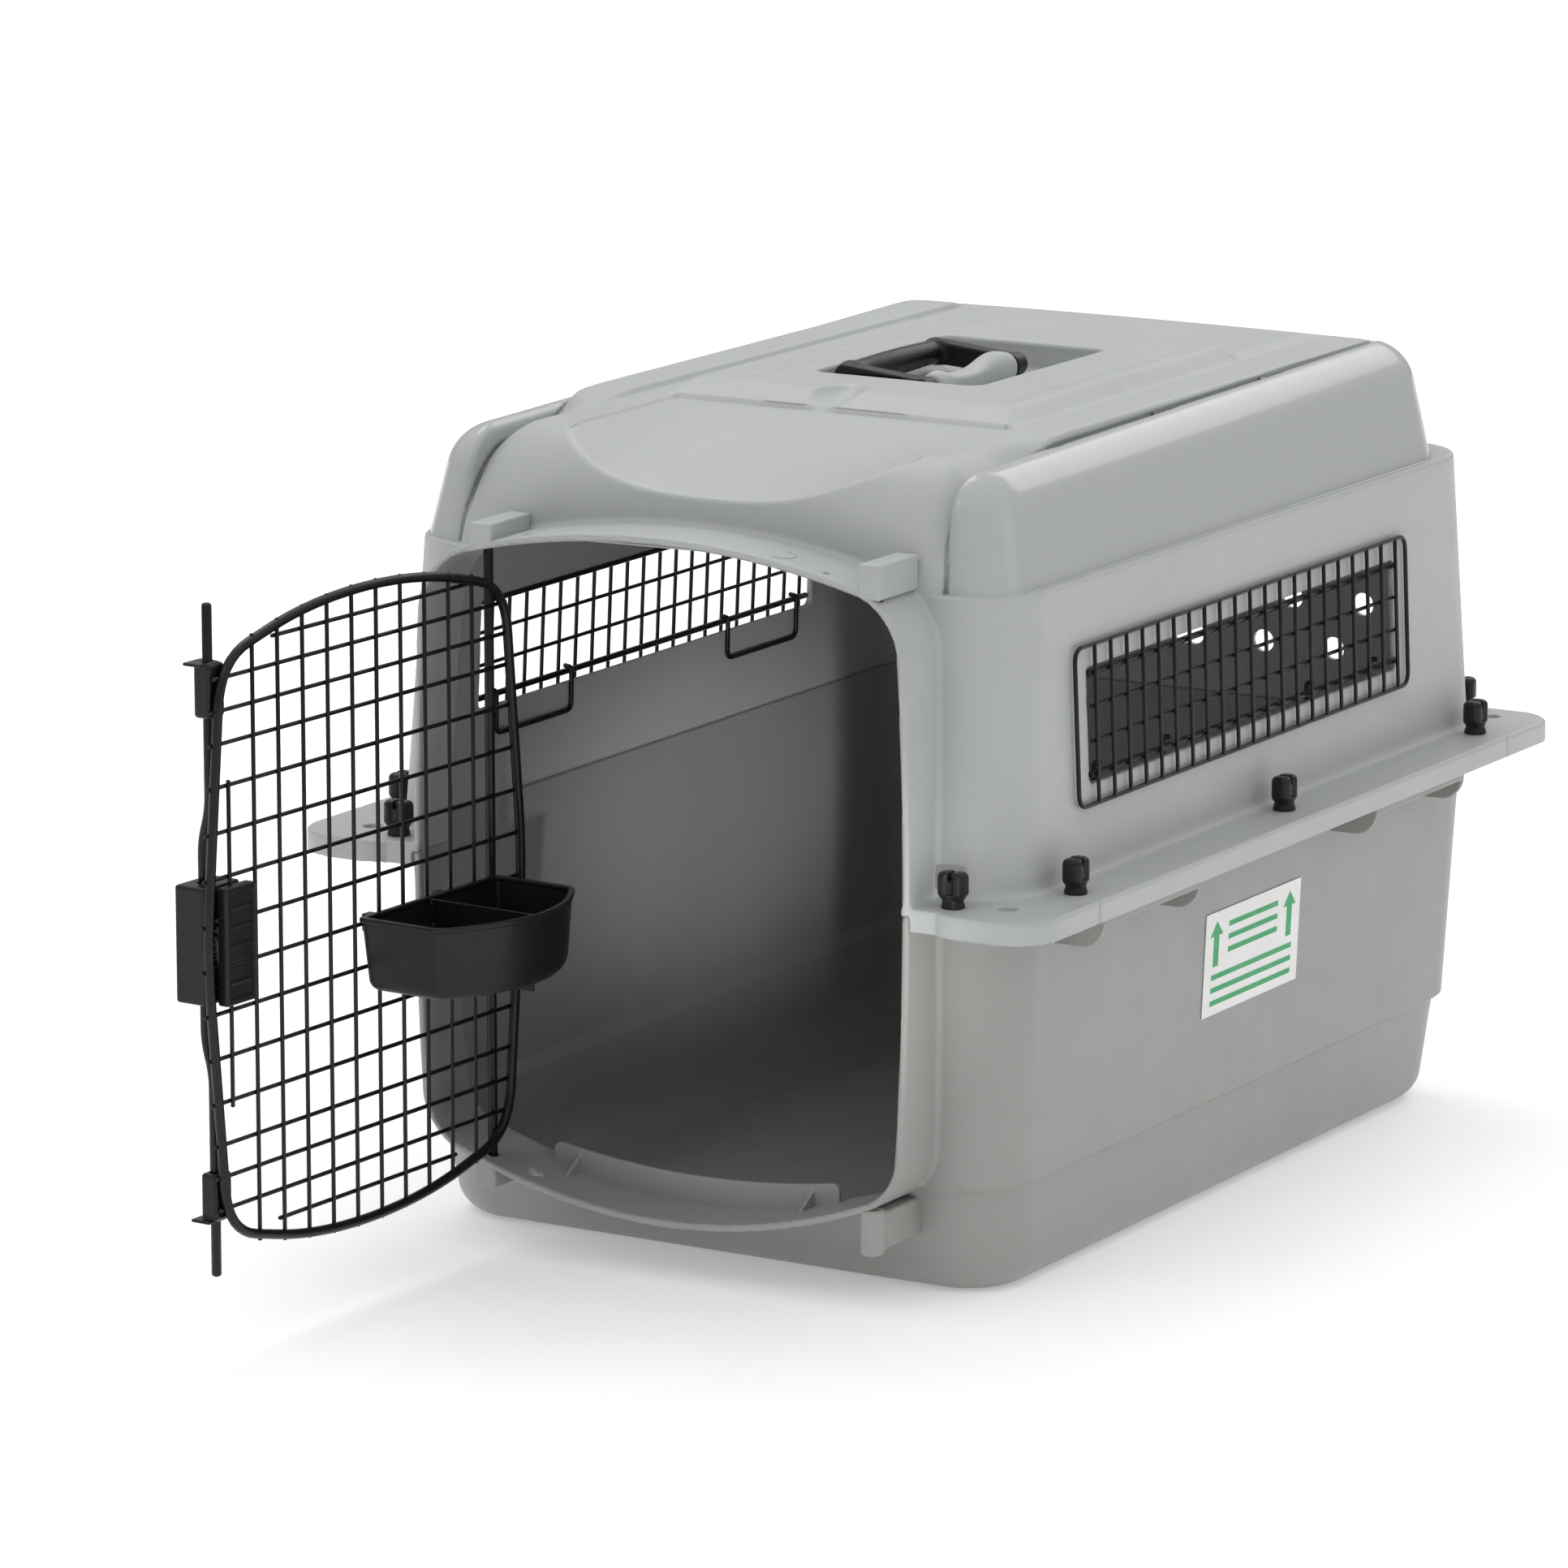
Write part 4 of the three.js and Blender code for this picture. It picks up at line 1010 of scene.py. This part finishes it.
def make_door(wire):
    up_w, row_w, thin = 4.6, 2.5, 1.3
    runs = [(door_frame_path(), 3.0, True)]
    for k in range(1, 11):
        u = 24 * k
        ends = (u, up_w, frame_edge(u, False) - 2.2), (u, up_w, frame_edge(u, True) + 2.2)
        runs.append((straight(*ends), thin, False))
    for z in ROWS:
        reach = half_width(z)
        ends = (CENTRE - reach - 2.5, row_w, z), (CENTRE + reach + 3.6, row_w, z)
        runs.append((straight(*ends), thin, False))
    for z, u0, u1 in ((417, 14, 218), (68.5, 44, 218)):
        runs.append((straight((u0 - 2, row_w, z), (u1, row_w, z)), thin, False))
    runs.append((straight((264, up_w, ROWS[3] - 3), (264, up_w, ROWS[10] + 3)), thin, False))
    runs.append((straight((0, 0, 45), (0, 0, 444), 4), 3.0, False))
    panel = wires("door_panel_skin", runs, door_axes)
    dress(panel, wire, "door", "coated_wire", "door_panel")
    for name, body, (tip, bend, jog, end) in (
        ("latch_rod_upper", "upper_latch", (442.4, 322, 304, 262.5)),
        ("latch_rod_lower", "lower_latch", (45.6, 166, 184, 225.5)),
    ):
        route = ((ROD_W, tip), (ROD_W, bend), (BOX_W, jog), (BOX_W, end))
        points = [(LATCH_U, w, z) for w, z in route]
        rod = wires(name + "_skin", [(rounded_path(points, 12, steps=8), 3.0, False)], door_axes)
        dress(rod, wire, body, "coated_wire", name)


def guide_sdf(z0, z1, up):
    flange_z = z1 if up else z0

    def shape(u, w, z):
        sleeve = box(u, w, z, 261, 277, -10.1, 1.3, z0, z1, 2.4)
        flange = box(u, w, z, 265, 282, -13.6, -0.4, flange_z - 1, flange_z + 1, 0.8)
        wing = box(u, w, z, 262.5, 275.5, -1.2, 1.3, z0 + 3, z1 - 3, 0.6)
        body = np.minimum(smin(sleeve, flange, 1.5), wing)
        dimple = np.maximum(rect(u, z, 265, 273, z0 + 6, z1 - 6, 2), -w - 9.2)
        body = smax(body, -np.maximum(dimple, w + 9.0), 0.6)
        return np.maximum(body, -(np.hypot(u - LATCH_U, w - ROD_W) - 3.4))

    return shape


def housing_sdf(u, w, z):
    shell = box(u, w, z, 250, 284, -20.6, 1.6, 209, 279, 2.0)
    face = rect(u, z, 253.5, 280.5, 212.5, 275.5, 3)
    recess = np.maximum(np.maximum(face, -face - 1.6), w + 19.8)
    hollow = box(u, w, z, 253, 281, -17.6, 3.5, 212, 276, 0.5)
    window = np.maximum(rect(u, z, 256.5, 277.5, 216, 272, 3), w + 12)
    bar = np.maximum(np.abs(z - 244) - 3, w + 10)
    shell = smax(shell, -recess, 0.5)
    shell = np.maximum(shell, -hollow)
    shell = np.maximum(shell, -np.maximum(window, -bar))
    rods = np.hypot(u - LATCH_U, w - BOX_W) - 3.6
    return np.maximum(shell, -rods)


def tab_sdf(z0, z1, bore0, bore1, spring):
    def shape(u, w, z):
        block = box(u, w, z, 253.7, 280.3, -17.3, -0.7, z0, z1, 1.0)
        finger = box(u, w, z, 258, 276, -23.4, -16, z0 + 2, z1 - 2, 2.2)
        ridges = np.maximum(np.abs(np.mod(z - z0, 2.6) - 1.3) - 0.45, w + 22.7)
        body = smax(smin(block, finger, 1.5), -ridges, 0.4)
        bore = np.maximum(np.hypot(u - LATCH_U, w - BOX_W) - 3.6, np.maximum(bore0 - z, z - bore1))
        body = np.maximum(body, -bore)
        if spring:
            body = np.maximum(body, -(np.hypot(u - 259, w - BOX_W) - 4.2))
        return body

    return shape


def backplate_sdf(u, w, z):
    plate = box(u, w, z, 250, 278, 5.2, 13, 209, 279, 1.6)
    frame_line = rect(u, z, 253, 275, 213, 275, 2.5)
    recess = np.maximum(frame_line, 11.6 - w)
    plate = smax(plate, -recess, 0.5)
    ribs = np.full(u.shape, 50, np.float32)
    for middle in (222, 233, 244, 255, 266):
        ribs = np.minimum(ribs, box(u, w, z, 254, 274, 8, 12.9, middle - 1, middle + 1, 0.5))
    return np.minimum(plate, ribs)


def make_latch(wire, black, zinc):
    for name, z0, z1, up in (("rod_guide_top", 377, 409, True), ("rod_guide_bottom", 79, 107, False)):
        low, high = (257, -18, z0 - 4), (286, 5, z1 + 4)
        guide = moulding(name + "_skin", guide_sdf(z0, z1, up), low, high, 0.7, 16_000, door_axes)
        dress(guide, wire, "door", "coated_wire", name)
    for name, shape, low, high, limit in (
        ("latch_housing", housing_sdf, (246, -25, 205), (288, 6, 283), 30_000),
        ("latch_backplate", backplate_sdf, (246, 1, 205), (282, 17, 283), 24_000),
    ):
        half = moulding(name + "_skin", shape, low, high, 0.8, limit, door_axes)
        dress(half, black, "door", "black_plastic", name)
    for name, z0, z1, bore, spring, body in (
        ("squeeze_tab_upper", 258, 271, (261, 280), False, "upper_latch"),
        ("squeeze_tab_lower", 217, 230, (200, 227), True, "lower_latch"),
    ):
        shape = tab_sdf(z0, z1, *bore, spring)
        low, high = (250, -27, z0 - 3), (284, 3, z1 + 3)
        tab = moulding(name + "_skin", shape, low, high, 0.7, 14_000, door_axes)
        dress(tab, black, body, "black_plastic", name)
    z0, z1, turns = 231, 257.2, 6
    t = np.linspace(0, 1, turns * 16 + 1)
    turn = t * turns * 2 * math.pi
    coil = np.stack([259 + 3 * np.cos(turn), BOX_W + 3 * np.sin(turn), z0 + (z1 - z0) * t], 1)
    spring = wires("latch_spring_skin", [(coil, 0.5, False)], door_axes, sides=8)
    dress(spring, zinc, "upper_latch", "zinc_steel", "latch_spring")


def cup_plan(u, w):
    """Cup outline: flat back, straight sides and a bowed front."""
    t = (u - 71) / 69
    front = (w - 62 - 26 * (1 - t * t)) / np.sqrt(1 + (52 / 69 * t) ** 2)
    sides = smax(np.abs(u - 71) - 69, 5.4 - w, 3)
    return smax(sides, front, 5)


def cup_sdf(u, w, z):
    inset = np.interp(z, [190, 196, 235], [5, 3, 0])
    plan = cup_plan(u, w) + inset
    outer = round_max(plan, 190 - z, 4)
    outer = np.maximum(outer, z - 235)
    rim = round_max(np.abs(cup_plan(u, w) + 0.9) - 1.9, np.abs(z - 233.6) - 1.5, 0.7)
    inner = round_max(plan + 2.4, 192.4 - z, 4)
    inner = np.maximum(inner, z - 245)
    cup = smax(outer, -inner, 1.0)
    divider = np.maximum(np.maximum(np.abs(u - 71) - 1.1, plan + 1), z - 233.5)
    cup = np.minimum(np.minimum(cup, rim), divider)
    for place in (56, 126):
        arm = box(u, w, z, place - 4, place + 4, -1.2, 7, 231.3, 234.6, 0.6)
        drop = box(u, w, z, place - 4, place + 4, -1.2, 1.4, 224, 234.6, 0.6)
        cup = np.minimum(cup, np.minimum(arm, drop))
    return cup


def make_cup(black):
    cup = moulding("food_cup_skin", cup_sdf, (-4, -5, 186), (146, 94, 240), 1.0, 60_000, door_axes)
    dress(cup, black, "cup", "black_plastic", "food_cup")


# ---------------------------------------------------------------- vents
LEAN = math.atan(8 / 181)
VENT_AT = (221 - (340.6 - 246) * 8 / 181, -11.5, 340.6)


def vent_axes(side):
    """From a vent's own axes (out of the wall, along it, up it) to the frame's."""

    def turn(points, weight):
        out, along, up = points[:, 0], points[:, 1], points[:, 2]
        x = VENT_AT[0] * weight + out * math.cos(LEAN) - up * math.sin(LEAN)
        z = VENT_AT[2] * weight + out * math.sin(LEAN) + up * math.cos(LEAN)
        return np.stack([side * x, VENT_AT[1] * weight + along, z], 1)

    return turn


def make_vents(wire):
    out, half_y, half_z = 2.9, 219.5, 48
    for side, label in ((1, "right"), (-1, "left")):
        corners = [(out, y * half_y, z * half_z) for y, z in ((-1, -1), (1, -1), (1, 1), (-1, 1))]
        runs = [(rounded_path(corners, 9, closed=True), 1.4, True)]
        for k in range(21):
            y = -196 + 20 * k
            runs.append((straight((out + 0.6, y, -half_z), (out + 0.6, y, half_z)), 1.25, False))
        for z in (-10.6, 10.4):
            runs.append((straight((out - 1.5, -199, z), (out - 1.5, 207, z)), 1.2, False))
        for z in (-31, 30.5):
            runs.append((straight((0.2, -199, z), (0.2, 207, z)), 2.0, False))
        grille = wires("vent_grille_" + label + "_skin", runs, vent_axes(side))
        dress(grille, wire, "carrier", "coated_wire", "vent_grille_" + label)
        if side < 0:
            grille.data.flip_normals()
        for tag, y in (("a", -140), ("b", 140)):
            half = 44
            leg = [(-1.4, -26.4), (-6.4, -26.8), (-7, -54)]
            points = [(w, y - half, z) for w, z in leg] + [(w, y + half, z) for w, z in leg[::-1]]
            name = "vent_clip_" + label + "_" + tag
            clip = wires(name + "_skin", [(rounded_path(points, 6, steps=6), 1.6, False)], vent_axes(side))
            dress(clip, wire, "carrier", "coated_wire", name)
            if side < 0:
                clip.data.flip_normals()


# ---------------------------------------------------------------- label
def make_label(white, green):
    lean = math.atan(8 / 172)
    x0 = 210 + (159 - 70) * 8 / 172 + 0.3

    def place(points):
        out, along, up = np.array(points, float).T
        x = x0 + out * math.cos(lean) + up * math.sin(lean)
        z = 159 - out * math.sin(lean) + up * math.cos(lean)
        return np.stack([x, 8 + along, z], 1) * MM

    def prism(outline, out0, out1):
        n = len(outline)
        points = [(out0, a, b) for a, b in outline] + [(out1, a, b) for a, b in outline]
        faces = [tuple(range(n))[::-1], tuple(range(n, 2 * n))]
        faces += [(i, (i + 1) % n, n + (i + 1) % n, n + i) for i in range(n)]
        return points, faces

    def arrow(along, low, high, width, head):
        neck = high - head * 1.1
        return [(along - width / 2, low), (along + width / 2, low), (along + width / 2, neck),
                (along + head, neck), (along, high), (along - head, neck), (along - width / 2, neck)]

    def rectangle(a0, a1, b0, b1):
        return [(a0, b0), (a1, b0), (a1, b1), (a0, b1)]

    shapes = [(rectangle(-63.5, 63.5, -33, 33), 0.0, 0.4, 0)]
    shapes += [(arrow(along, -2, 27, 7, 8.5), 0.4, 0.47, 1) for along in (-49, 49)]
    bar = 3.4
    for reach, b0, b1 in ((33, 4, 24), (54, -27, -7)):
        for low in (b0, b1 - bar, (b0 + b1 - bar) / 2):
            shapes.append((rectangle(-reach, reach, low, low + bar), 0.4, 0.47, 1))
    points, faces, kinds = [], [], []
    for outline, out0, out1, kind in shapes:
        p, f = prism(outline, out0, out1)
        faces += [tuple(i + len(points) for i in face) for face in f]
        kinds += [kind] * len(f)
        points += p
    mesh = bpy.data.meshes.new("handling_label_skin")
    mesh.from_pydata(place(points).tolist(), [], faces)
    mesh.materials.append(white)
    mesh.materials.append(green)
    mesh.polygons.foreach_set("material_index", kinds)
    mesh.update()
    piece = bpy.data.objects.new("handling_label_skin", mesh)
    bpy.context.scene.collection.objects.link(piece)
    dress(piece, white, "carrier", "label_film", "handling_label")


# ---------------------------------------------------------------- everything together
def main():
    make_camera()
    make_studio()
    matte = moulded("top_matte_plastic", (0.435, 0.455, 0.44), 0.46, 700, 0.00018, 0.03, 0.55)
    glossy = moulded("top_gloss_plastic", (0.435, 0.455, 0.44), 0.16, 90, 0.0002, 0.02, 0.12, 0.03)
    base = moulded("base_grey_plastic", (0.33, 0.333, 0.318), 0.42, 620, 0.00018, 0.035, 0.5)
    black = moulded("black_moulded_plastic", (0.01, 0.01, 0.011), 0.34, 500, 0.0002, 0.1, 0.4)
    black.node_tree.nodes["Principled BSDF"].inputs["Specular IOR Level"].default_value = 0.3
    wire = coated_wire_material()
    zinc = steel_material()
    white = film_material("label_white_film", (0.88, 0.88, 0.87))
    green = film_material("label_green_ink", (0.02, 0.38, 0.13))
    make_top_shell(matte, glossy)
    make_bottom_shell(base)
    make_fasteners(black, zinc)
    make_handle(black)
    make_door(wire)
    make_latch(wire, black, zinc)
    make_cup(black)
    make_vents(wire)
    make_label(white, green)


main()
